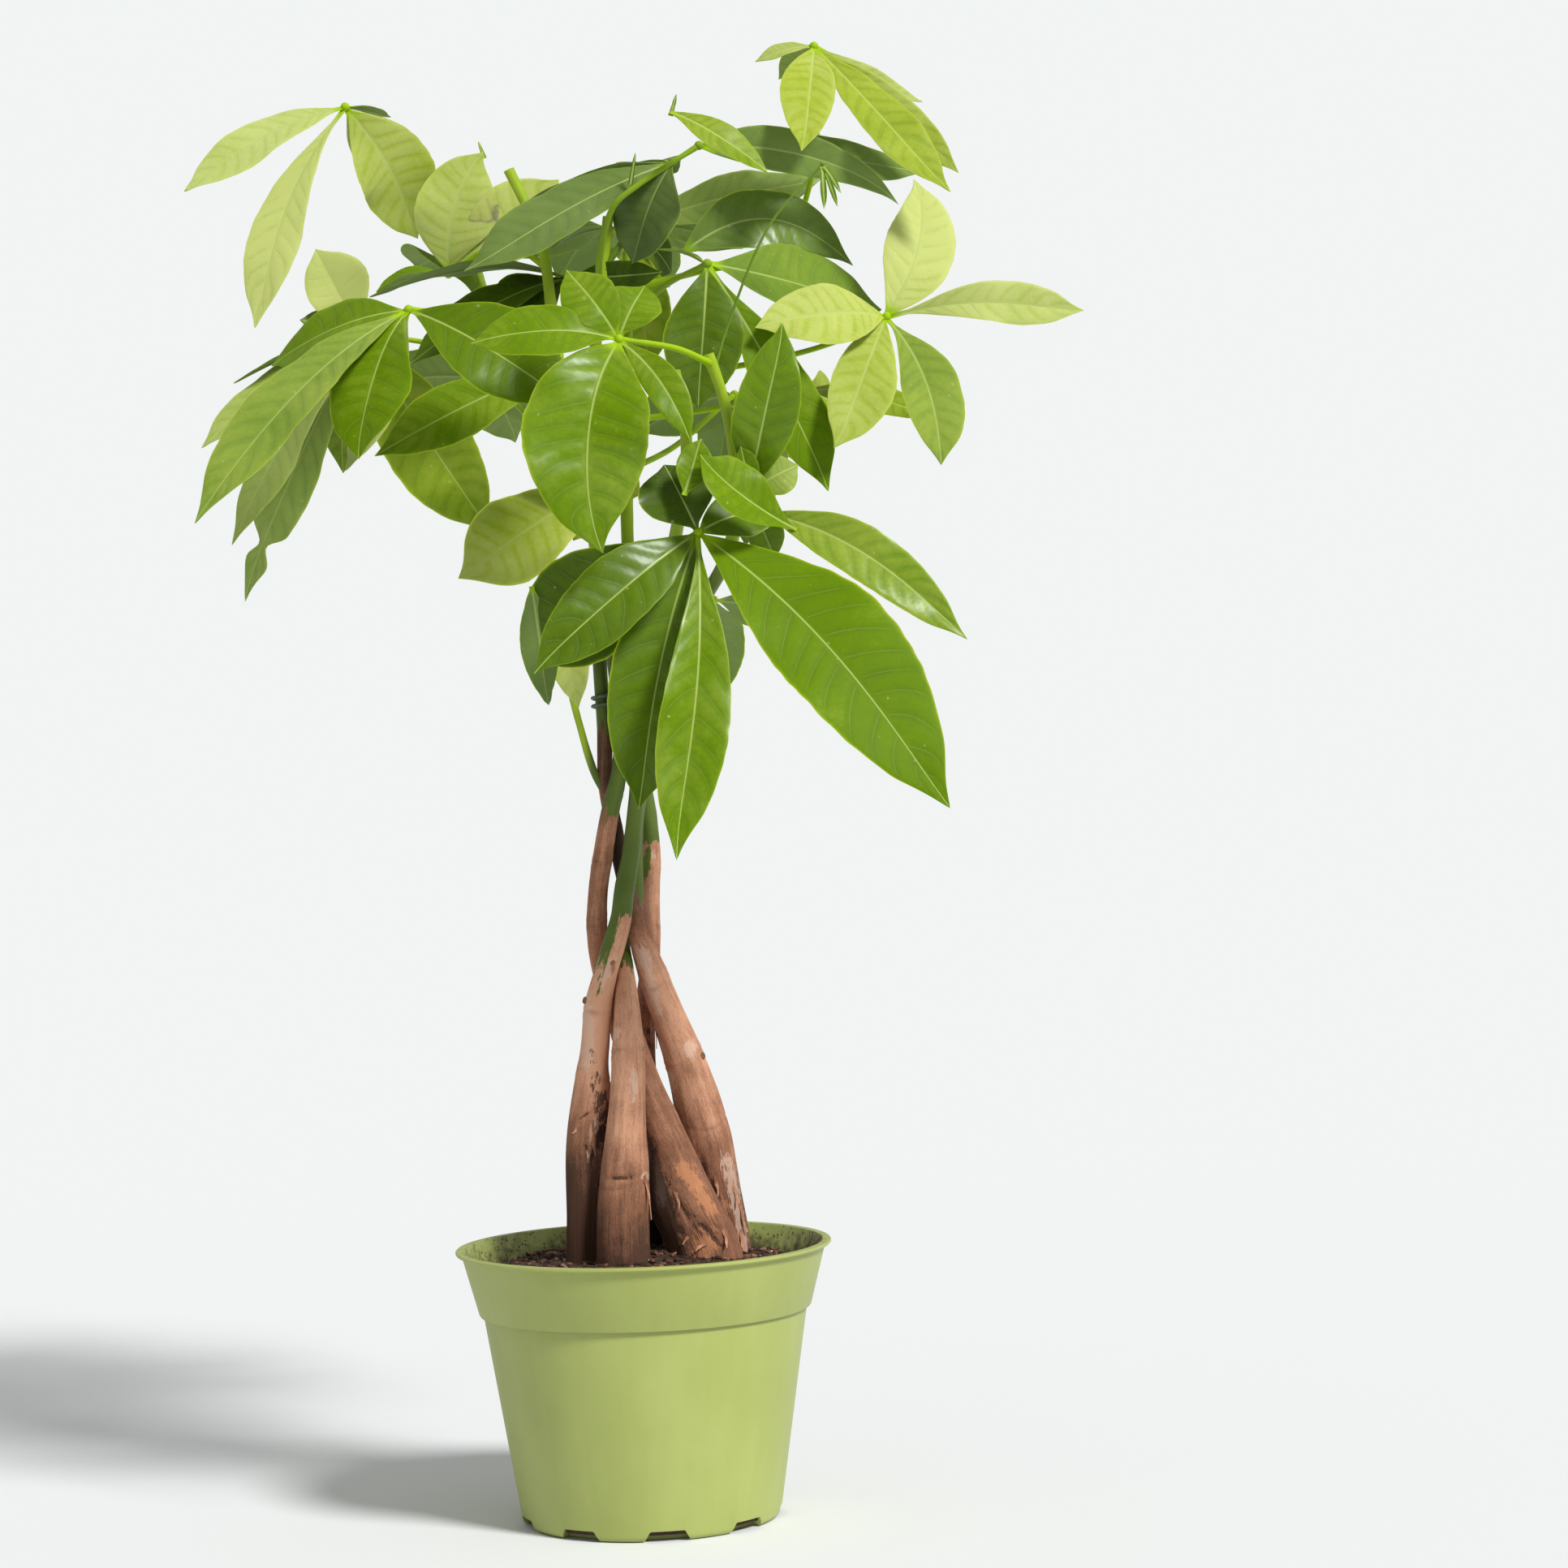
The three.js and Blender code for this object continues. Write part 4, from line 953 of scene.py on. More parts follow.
@dataclass(frozen=True)
class PotFinish(Finish):
    """Satin olive-green moulded plastic with dust, fine flow marks and soil inside."""

    name: str = "pot_plastic"
    roughness: float = 0.42
    body: Rgb = srgb(168, 178, 100)
    worn: Rgb = srgb(156, 166, 86)
    soil: Rgb = srgb(58, 40, 26)
    dirt: bpy.types.NodeTree | None = field(default=None, compare=False)

    def recipe(self, nodes: Nodes, shader: bpy.types.Node) -> None:
        """Lays dust, flow marks and specks over the plastic.

        Args:
            nodes: The material's nodes.
            shader: Its Principled shader.
        """
        place = nodes.place()
        cloudy = nodes.noise(place, 22.0, detail=4.0)
        stretched = nodes.add("ShaderNodeMapping", {"Vector": place, "Scale": (1, 1, 0.06)})
        flow = nodes.noise(stretched.outputs[0], 160.0, detail=2.0)
        level = nodes.maths("MULTIPLY_ADD", flow, 0.25, nodes.maths("MULTIPLY", cloudy, 0.9))
        plastic = nodes.blend(nodes.span(level, 0.3, 0.9), rgba(self.worn), rgba(self.body))
        inside = nodes.attribute("inside")
        specks = nodes.specks(self.dirt, place, 0.75, 620.0)
        ragged = nodes.maths("MULTIPLY_ADD", nodes.noise(place, 260.0, detail=5.0), 0.8, -0.4)
        soiled = nodes.maths("ADD", nodes.attribute("soiled"), ragged)
        smear = nodes.span(nodes.maths("ADD", cloudy, soiled), 0.48, 0.95)
        dirty = nodes.maths("MAXIMUM", nodes.maths("MULTIPLY", specks, inside), smear)
        dirty = nodes.maths("MULTIPLY", dirty, nodes.maths("MULTIPLY", inside, 0.85))
        rough = nodes.maths("MULTIPLY_ADD", cloudy, 0.2, self.roughness - 0.08)
        height = nodes.maths("MULTIPLY_ADD", flow, 0.6, nodes.noise(place, 900.0))
        look = {
            "Base Color": nodes.blend(dirty, plastic, rgba(self.soil)),
            "Roughness": nodes.maths("MULTIPLY_ADD", dirty, 0.4, rough),
            "Normal": nodes.bump(height, 0.12, 0.0004),
            "Subsurface Weight": 0.08,
            "Subsurface Scale": 0.002,
        }
        nodes.feed(shader, look)


@dataclass(frozen=True)
class SoilFinish(Finish):
    """Damp dark potting mix, from near black to brown fibre."""

    name: str = "soil"
    roughness: float = 0.95
    wet: Rgb = srgb(38, 26, 18)
    dry: Rgb = srgb(92, 62, 42)

    def recipe(self, nodes: Nodes, shader: bpy.types.Node) -> None:
        """Mottles the mix from wet to dry.

        Args:
            nodes: The material's nodes.
            shader: Its Principled shader.
        """
        cloudy = nodes.noise(nodes.place(), 230.0, detail=6.0, rough=0.7)
        look = {
            "Base Color": nodes.ramp(cloudy, [(0.35, self.wet), (0.7, self.dry)]),
            "Roughness": nodes.span(cloudy, 0.3, 0.7, 0.75, 1.0),
            "Normal": nodes.bump(cloudy, 0.8, 0.0015),
        }
        nodes.feed(shader, look)


@dataclass(frozen=True)
class CrumbFinish(Finish):
    """Loose bits on the soil: peat, bark chips and pale perlite, told apart by an attribute."""

    name: str = "crumbs"
    roughness: float = 0.9
    peat: Rgb = srgb(60, 40, 28)
    bark: Rgb = srgb(124, 80, 58)
    perlite: Rgb = srgb(225, 220, 205)

    def recipe(self, nodes: Nodes, shader: bpy.types.Node) -> None:
        """Colours each bit by what it is.

        Args:
            nodes: The material's nodes.
            shader: Its Principled shader.
        """
        grain = nodes.noise(nodes.place(), 900.0)
        kind = nodes.varied(nodes.attribute("kind"), grain, 0.25)
        dark_peat = tuple(value * 0.5 for value in self.peat)
        stops = [(0.0, dark_peat), (0.35, self.peat), (0.62, self.bark), (0.9, self.perlite)]
        look = {
            "Base Color": nodes.ramp(kind, stops),
            "Roughness": nodes.span(grain, 0.2, 0.8, 0.8, 1.0),
            "Normal": nodes.bump(grain, 0.5, 0.0005),
        }
        nodes.feed(shader, look)


@dataclass(frozen=True)
class TieFinish(Finish):
    """The tie's dark green plastic skin, scuffed in patches."""

    name: str = "tie_plastic"
    roughness: float = 0.45
    skin: Rgb = srgb(64, 84, 66)
    scuffed: Rgb = srgb(120, 136, 112)

    def recipe(self, nodes: Nodes, shader: bpy.types.Node) -> None:
        """Scuffs the plastic.

        Args:
            nodes: The material's nodes.
            shader: Its Principled shader.
        """
        wear = nodes.noise(nodes.place(), 700.0, detail=4.0, rough=0.7)
        scuffs = nodes.span(wear, 0.52, 0.72)
        look = {
            "Base Color": nodes.blend(scuffs, rgba(self.skin), rgba(self.scuffed)),
            "Roughness": nodes.span(wear, 0.4, 0.7, 0.38, 0.7),
            "Normal": nodes.bump(wear, 0.2, 0.0003),
        }
        nodes.feed(shader, look)


# ---------------------------------------------------------------- leaves


@dataclass
class LeafMaker:
    """Grows a compound leaf: petiole, hub and leaflets in one mesh.

    Lengths are millimetres. wave, quilt, margin and uneven are shares of a leaflet's width: its
    long waves, the swelling between its veins, its waved edge, and how far its halves differ.
    """

    finish: bpy.types.Material
    thickness: float = 0.5
    root_depth: float = 1.4
    stalk: float = 0.8
    tip: float = 0.35
    fullness: float = 0.84
    wave: float = 0.035
    wave_step: float = 2.2
    wave_phase: float = 1.7
    wave_steps: float = 5.0
    quilt: float = 0.0035
    margin: float = 0.022
    margin_length: float = 42.0
    uneven: float = 0.08
    columns: int = 26
    step_length: float = 2.0
    petiole_radius: tuple[float, float] = (1.5, 1.1)
    petiole_steps: int = 40
    petiole_sides: int = 12
    hub_radius: float = 2.0

    def grow(self, leaf: Leaf, rng: random.Random) -> bpy.types.Object:
        """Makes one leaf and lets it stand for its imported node.

        Args:
            leaf: The leaf's table entry.
            rng: The leaf's own random draws.

        Returns:
            The finished piece.
        """
        parts = [self.petiole(leaf), self.hub(leaf)]
        parts += [self.blade(leaf, blade, order, rng) for order, blade in enumerate(leaf.blades)]
        piece = joined(parts, f"{leaf.node}_grown")
        piece.data.materials.append(self.finish)
        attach(piece, "root")
        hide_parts(leaf.node)
        return piece

    def plain_fields(self, shape: tuple[int, int], leaf: Leaf) -> dict[str, np.ndarray]:
        """Gives a stalk's values for the leaf material.

        Args:
            shape: Rings and points a ring.
            leaf: The leaf that the stalk belongs to.

        Returns:
            One array for each attribute that the material reads.
        """
        blank = np.zeros(shape)
        return {
            "tone": blank + leaf.tone,
            "vein": blank,
            "rib": blank + 9.0,
            "along": blank,
            "across": blank,
            "underside_and_sheen": blank,
            "stalk": blank + 1.0,
            "gloss": blank + 0.3,
        }

    def petiole(self, leaf: Leaf) -> bpy.types.Object:
        """Makes the petiole, a little swollen at both ends."""
        shares = np.linspace(0, 1, self.petiole_steps)
        line, _ = smooth_line([seen(place) for place in leaf.petiole], shares)
        low, high = self.petiole_radius
        radius = (low + (high - low) * shares) * leaf.slimness
        for swelling, from_end in ((0.35, shares), (0.3, 1 - shares)):
            radius = radius * (1 + swelling * np.exp(-((from_end / 0.06) ** 2)))
        ways = ways_round(line, self.petiole_sides + 1)
        rings = line[:, None, :] + radius[:, None, None] * ways
        return rolled_tube("petiole", rings, self.plain_fields(rings.shape[:2], leaf))

    def hub(self, leaf: Leaf) -> bpy.types.Object:
        """Makes the small knot that the leaflets spring from."""
        centre = seen(leaf.petiole[-1]) * MM
        radius = self.hub_radius * leaf.slimness * MM
        bpy.ops.mesh.primitive_ico_sphere_add(subdivisions=3, radius=radius, location=centre)
        knot = applied(bpy.context.view_layer.objects.active)
        bpy.ops.object.shade_smooth()
        count = len(knot.data.vertices)
        for name, values in self.plain_fields((count, 1), leaf).items():
            keep_field(knot.data, name, values[:, 0])
        return knot

    def blade(self, leaf: Leaf, blade: Blade, order: int, rng: random.Random) -> bpy.types.Object:
        """Makes one leaflet as a thin closed skin with a raised rib below.

        Args:
            leaf: The leaf that it belongs to.
            blade: Its table entry.
            order: Its number in the leaf.
            rng: The leaf's random draws.

        Returns:
            The leaflet's mesh object.
        """
        hub = np.array(seen(blade.root or leaf.petiole[-1]))
        chord = np.array(seen((blade.x, blade.depth, blade.z))) - hub
        length = float(np.linalg.norm(chord))
        t = np.linspace(0, 1, max(16, round(length / self.step_length)) + 1)[:, None]
        spread = np.linspace(1, -1, self.columns + 1)
        spread = np.sign(spread) * np.abs(spread) ** 1.15
        side = np.concatenate([spread, spread[::-1][1:]])[None, :]
        face = np.concatenate([np.ones(self.columns + 1), -np.ones(self.columns)])[None, :]
        face[0, 0] = face[0, self.columns] = face[0, -1] = 0.0
        reach = np.abs(side)
        middle, across, normal = self.midrib(leaf, blade, hub, chord, t, rng)
        swell = np.sin(np.pi * t**blade.lean) ** self.fullness
        phase = self.vein_phase(length, t, side, rng)
        half = self.half_width(blade, swell, t, side, rng)
        half = half * (1 + 0.008 * reach * np.sin(2 * np.pi * phase) * swell)
        distance = reach * half
        big = self.wave * np.sin(self.wave_step * t * self.wave_steps + self.wave_phase * order)
        margin = self.margin_wave(blade, length, t, side, rng)
        crease = blade.fold + 0.05 + rng.uniform(-0.03, 0.04)
        cup = crease * half * (reach**1.08 - 0.5 * reach**3 * t)
        quilt = self.quilt * blade.quilt * soft_step(0.0, 0.2, reach) * (1 - reach**3)
        quilt = quilt * np.cos(2 * np.pi * phase)
        rib_size = (0.75 - 0.55 * t) * swell**0.3
        groove = -0.3 * rib_size * np.exp(-((distance / 1.0) ** 2))
        rib = np.where(face < 0, -1.25 * rib_size * np.exp(-((distance / 0.75) ** 2)), 0.0)
        lift = (side * big + margin + quilt) * blade.width * swell
        lift = lift + cup + groove + face * self.thickness / 2 + rib
        places = middle + across * (side * half)[..., None] + normal * lift[..., None]
        blank = np.zeros(places.shape[:2])
        fields = {
            "tone": blank + (leaf.tone if blade.tone is None else blade.tone),
            "vein": blank + phase,
            "rib": blank + distance,
            "along": blank + t,
            "across": blank + reach,
            # The underside, and on the top face the painted grey sheen that haze sets.
            "underside_and_sheen": np.maximum(blank + (face < 0), blade.painted_sheen),
            "stalk": blank + (1 - soft_step(0.02, 0.08, t)),
            "gloss": blank + blade.gloss * (face >= 0),
        }
        return rolled_tube(f"blade_{order}", places, fields, sharp=75.0)

    def midrib(
        self, leaf: Leaf, blade: Blade, hub: np.ndarray, chord: np.ndarray, t: np.ndarray,
        rng: random.Random,
    ) -> tuple[np.ndarray, np.ndarray, np.ndarray]:
        """Bends the midrib and turns the blade about it.

        Args:
            leaf: The leaf that the leaflet belongs to.
            blade: The leaflet's table entry.
            hub: Where the leaflets spring from.
            chord: From the hub to the leaflet's tip.
            t: Shares of the length, from 0 to 1, as a column.
            rng: The leaf's random draws.

        Returns:
            The midrib's points, and across and outward directions at each.
        """
        length = np.linalg.norm(chord)
        axis = chord / length
        up = np.array(leaf.face, float)
        up -= axis * np.dot(up, axis)
        up /= np.linalg.norm(up)
        turn = math.radians(blade.roll)
        up = up * math.cos(turn) + np.cross(axis, up) * math.sin(turn)
        beside = np.cross(axis, up)
        arch = 4 * t * (1 - t)
        swerve = blade.bend * arch + rng.uniform(-0.025, 0.025) * length * t**5 * (1 - t) * 8
        start = self.root_depth / length
        line = hub + chord * (start + (1 - start) * t)
        line = line + up * blade.bow * arch * (1.25 - 0.5 * t) + beside * swerve
        way = np.gradient(line, axis=0)
        way /= np.linalg.norm(way, axis=1)[:, None]
        twist = math.radians(rng.uniform(-9, 9)) * (t - 0.35)
        normal = up * np.cos(twist) + beside * np.sin(twist)
        normal = normal - way * (normal * way).sum(axis=1)[:, None]
        normal /= np.linalg.norm(normal, axis=1)[:, None]
        return line[:, None, :], np.cross(way, normal)[:, None, :], normal[:, None, :]

    def half_width(
        self, blade: Blade, swell: np.ndarray, t: np.ndarray, side: np.ndarray, rng: random.Random
    ) -> np.ndarray:
        """Gives the distance from midrib to margin, a little different on the two sides.

        Args:
            blade: The leaflet's table entry.
            swell: How wide it is along its length, from 0 to 1.
            t: Shares of the length, as a column.
            side: Shares of the width, from 1 to -1, as a row.
            rng: The leaf's random draws.

        Returns:
            The half width in millimetres at each point.
        """
        drawn_in = 1 - 0.42 * soft_step(0.84, 1.0, t) - 0.2 * (1 - soft_step(0.0, 0.32, t))
        if blade.neck:
            drawn_in = drawn_in * (1 - 0.72 * np.exp(-(((t - blade.neck) / 0.045) ** 2)))
        uneven = 1 + np.sign(side) * rng.uniform(-self.uneven, self.uneven)
        shift = rng.uniform(0, PHASES)
        uneven = uneven + 0.025 * np.sin(9 * t + shift + 2 * np.sign(side))
        end = self.stalk * (1 - t) + (self.tip + blade.blunt * soft_step(0.5, 1, t)) * (1 - t**16)
        return np.maximum(blade.width / 2 * swell * drawn_in * uneven, end)

    def vein_phase(
        self, length: float, t: np.ndarray, side: np.ndarray, rng: random.Random
    ) -> np.ndarray:
        """Counts the side veins, whole at each panel's middle, with some drift."""
        reach = np.abs(side)
        veins = round(7 + length / 22)
        shifts = [
            np.where(side > 0, rng.uniform(0, PHASES), rng.uniform(0, PHASES)) for _ in range(2)
        ]
        drift = np.sin(11 * t + shifts[0]) + 0.6 * np.sin(23 * t + shifts[1])
        phase = veins * (t**0.92 - 0.06 * reach - 0.045 * reach**2.2) + 0.2 * drift
        return phase + np.where(side > 0, 0.5, 0.0)

    def margin_wave(
        self, blade: Blade, length: float, t: np.ndarray, side: np.ndarray, rng: random.Random
    ) -> np.ndarray:
        """Gives the wave of the margin as a share of the width."""
        shift = np.where(side > 0, rng.uniform(0, PHASES), rng.uniform(0, PHASES))
        turns = 2 * np.pi * length / self.margin_length
        wave = np.sin(turns * t + shift) + 0.4 * np.sin(2.35 * turns * t + 2 * shift)
        return self.margin * blade.wave * np.abs(side) ** 2.2 * wave


# ---------------------------------------------------------------- stems


class Mark(Enum):
    """A kind of mark on the bark."""

    BARE = "bare"
    FLAKED = "flaked"
    SPLIT = "split"
    # Painted shade in the gaps between the stems, with some real dirt at their feet.
    SHADE_AND_DIRT = "dirt"
    GREEN = "green"


@dataclass(frozen=True)
class Patch:
    """A mark on a stem as it is seen from the eye: its centre, length, width and lean.

    slant is the angle of its length from upright in degrees, positive to the right.
    """

    kind: Mark
    x: float
    z: float
    long: float
    wide: float
    slant: float = 0.0


@dataclass(frozen=True)
class Peel:
    """A strip of bark that has come loose at one end: its fixed end as seen, and its size.

    slant is the angle of its length from upright in degrees, positive to the right, and lift how
    far its loose end stands off.
    """

    x: float
    z: float
    long: float
    wide: float
    slant: float = 0.0
    lift: float = 1.5


@dataclass(frozen=True)
class Stub:
    """The cut end of an old side branch: its place as seen, its radius and the way it points."""

    place: Place
    radius: float
    way: Place


@dataclass(frozen=True)
class StemCharacter:
    """What tells one stem from another, in heights above the pot's base.

    green_from is where green skin starts, green_full where no bark is left, coarse_to where the
    rough foot ends, and ages how pale the bark is at the foot, above it and in the braid, from 0
    to 1: partly the bark's own paleness and partly painted light and shade, paler where a stem is
    lit and darker at a foot in shade and in the braid under the leaves. rings are the node heights,
    and patches and peels the marks on the side that is seen; the dark dirt patches are painted
    shade between the stems, with some real dirt at their feet.
    flare gives the foot a lobe: its bearing in degrees from across, its size and where it ends.
    stubs are the cut ends of old side branches.
    """

    green_from: float
    green_full: float
    coarse_to: float
    ages: tuple[float, float, float]
    rings: tuple[float, ...]
    patches: tuple[Patch, ...] = ()
    peels: tuple[Peel, ...] = ()
    flare: tuple[float, float, float] = (0.0, 0.0, 0.0)
    stubs: tuple[Stub, ...] = ()


# The ages paint light and shade as well as the bark's paleness: stem_left's dark foot is painted
# shade behind the front stem, and stem_right's dark braid is painted shade under the leaves.
CHARACTERS = {
    "stem_left": StemCharacter(
        258, 272, 165, (-0.35, 1.0, 0.75), (196, 224, 279, 296, 322, 352, 398, 440, 486),
        (
            Patch(Mark.FLAKED, -22, 222, 30, 7, -6),
            Patch(Mark.FLAKED, -12, 240, 14, 5, 30),
            Patch(Mark.FLAKED, -22, 204, 12, 5, 0),
            Patch(Mark.FLAKED, -21, 168, 18, 3.2, 12),
            Patch(Mark.SPLIT, -19.5, 166, 22, 1.6, 14),
            Patch(Mark.SPLIT, -24, 177, 6, 1.4, 60),
            Patch(Mark.GREEN, -9.5, 262, 48, 6, 14),
            # Painted shade in the gap behind the front stem.
            Patch(Mark.SHADE_AND_DIRT, -14.5, 150, 90, 6, -5),
        ),
        (
            Peel(-23, 178, 11, 3.3, 150, 1.8), Peel(-19, 175, 20, 3.0, 188, 1.0),
            Peel(-21, 160, 8, 2.4, 40, 1.5), Peel(-10, 247, 8, 2.4, 200, 0.9),
        ),
        (30, 6.5, 206),
        (Stub((-20, -10, 227), 1.8, (-0.9, -0.2, 0.3)),),
    ),
    "stem_front": StemCharacter(
        234, 250, 140, (-0.15, 0.8, 0.5), (148.5, 206, 246, 286, 318, 356, 402, 440, 476),
        (
            Patch(Mark.SPLIT, -8, 149, 1.6, 12, 0),
            Patch(Mark.FLAKED, -9, 213, 7, 4, 0),
            Patch(Mark.FLAKED, -2, 190, 16, 3, 0),
            Patch(Mark.FLAKED, 2, 150, 4, 5, 0),
        ),
        (Peel(2, 153, 15, 2.7, 176, 2.0), Peel(3.5, 150, 19, 2.1, 182, 1.5)),
    ),
    "stem_centre": StemCharacter(
        296, 322, 160, (0.25, 0.55, 0.5), (176, 210, 262, 288, 318, 356, 400, 446, 492, 534, 562),
        (
            Patch(Mark.BARE, 21, 150, 17, 8, -38),
            Patch(Mark.BARE, 28, 137, 12, 5, -30),
            Patch(Mark.BARE, 27, 119, 13, 11, 20),
            # Painted shade on the flank beside the front stem, and real dirt on the bark near the
            # soil.
            Patch(Mark.SHADE_AND_DIRT, 9, 140, 60, 8, -14),
            Patch(Mark.SHADE_AND_DIRT, 13, 120, 34, 10, -18),
            Patch(Mark.SPLIT, 29, 124, 20, 2.0, -42),
            Patch(Mark.SPLIT, 20, 131, 16, 1.4, -30),
            Patch(Mark.FLAKED, 9, 146, 20, 2.4, -12),
        ),
        (
            Peel(23, 128, 10, 2.4, 130, 1.2), Peel(30, 121, 9, 2.2, 110, 1.5),
            Peel(35, 127, 11, 2.7, 160, 1.2), Peel(14, 146, 11, 2.1, 170, 1.1),
        ),
        (165, 8.0, 168),
    ),
    "stem_right": StemCharacter(
        316, 372, 170, (0.25, 0.85, 0.15), (172, 200, 236, 262, 300, 340, 378, 424, 470, 512, 548),
        (
            # Painted shade on the braid's strand under the leaves.
            Patch(Mark.SHADE_AND_DIRT, -6, 296, 54, 10, 6),
            Patch(Mark.FLAKED, 4, 246, 14, 6, -20),
            Patch(Mark.FLAKED, 8, 230, 20, 5, -15),
            Patch(Mark.FLAKED, 23, 205, 9, 6, 0),
            Patch(Mark.FLAKED, 14, 190, 12, 4, -15),
            Patch(Mark.BARE, 37, 128, 22, 4, -8),
            Patch(Mark.BARE, 42, 112, 16, 4, -8),
            Patch(Mark.FLAKED, 40, 146, 26, 6, -12),
            Patch(Mark.FLAKED, 43, 124, 26, 4, -8),
            Patch(Mark.SPLIT, 33, 138, 20, 1.6, -14),
            Patch(Mark.SPLIT, 39, 124, 16, 1.8, -10),
            Patch(Mark.SPLIT, 28, 150, 12, 1.2, -14),
        ),
        (
            Peel(40, 150, 16, 2.7, 170, 1.8), Peel(42.5, 141, 18, 3.0, 176, 2.2),
            Peel(43, 128, 15, 3.0, 172, 2.2), Peel(36, 140, 15, 2.4, 168, 1.4),
            Peel(38, 126, 12, 2.4, 186, 1.6), Peel(33, 150, 11, 2.0, 165, 1.1),
            Peel(4.5, 224, 11, 2.2, 190, 1.9), Peel(2.5, 214, 10, 2.1, 200, 2.0),
        ),
        stubs=(Stub((26, 7, 201), 2.0, (0.9, -0.3, 0.3)),),
    ),
    "stem_back": StemCharacter(
        290, 302, 150, (-0.2, 0.4, 0.7), (184, 222, 258, 286, 306, 340, 380, 420, 460, 494),
        (
            Patch(Mark.GREEN, 6.5, 286, 16, 5, 8),
            # Painted shade over the back stem, which stands in shade behind the others.
            Patch(Mark.SHADE_AND_DIRT, 6, 150, 110, 20, 0),
            Patch(Mark.FLAKED, 8, 290, 5, 7, 0),
        ),
    ),
}

# The side shoot is green on the side that is seen.
SIDE_SHOOT_CHARACTER = StemCharacter(
    250, 330, 0, (0.5, 0.5, 0.5), (334, 356, 378), (Patch(Mark.GREEN, -24, 362, 100, 14, -8),) * 2
)


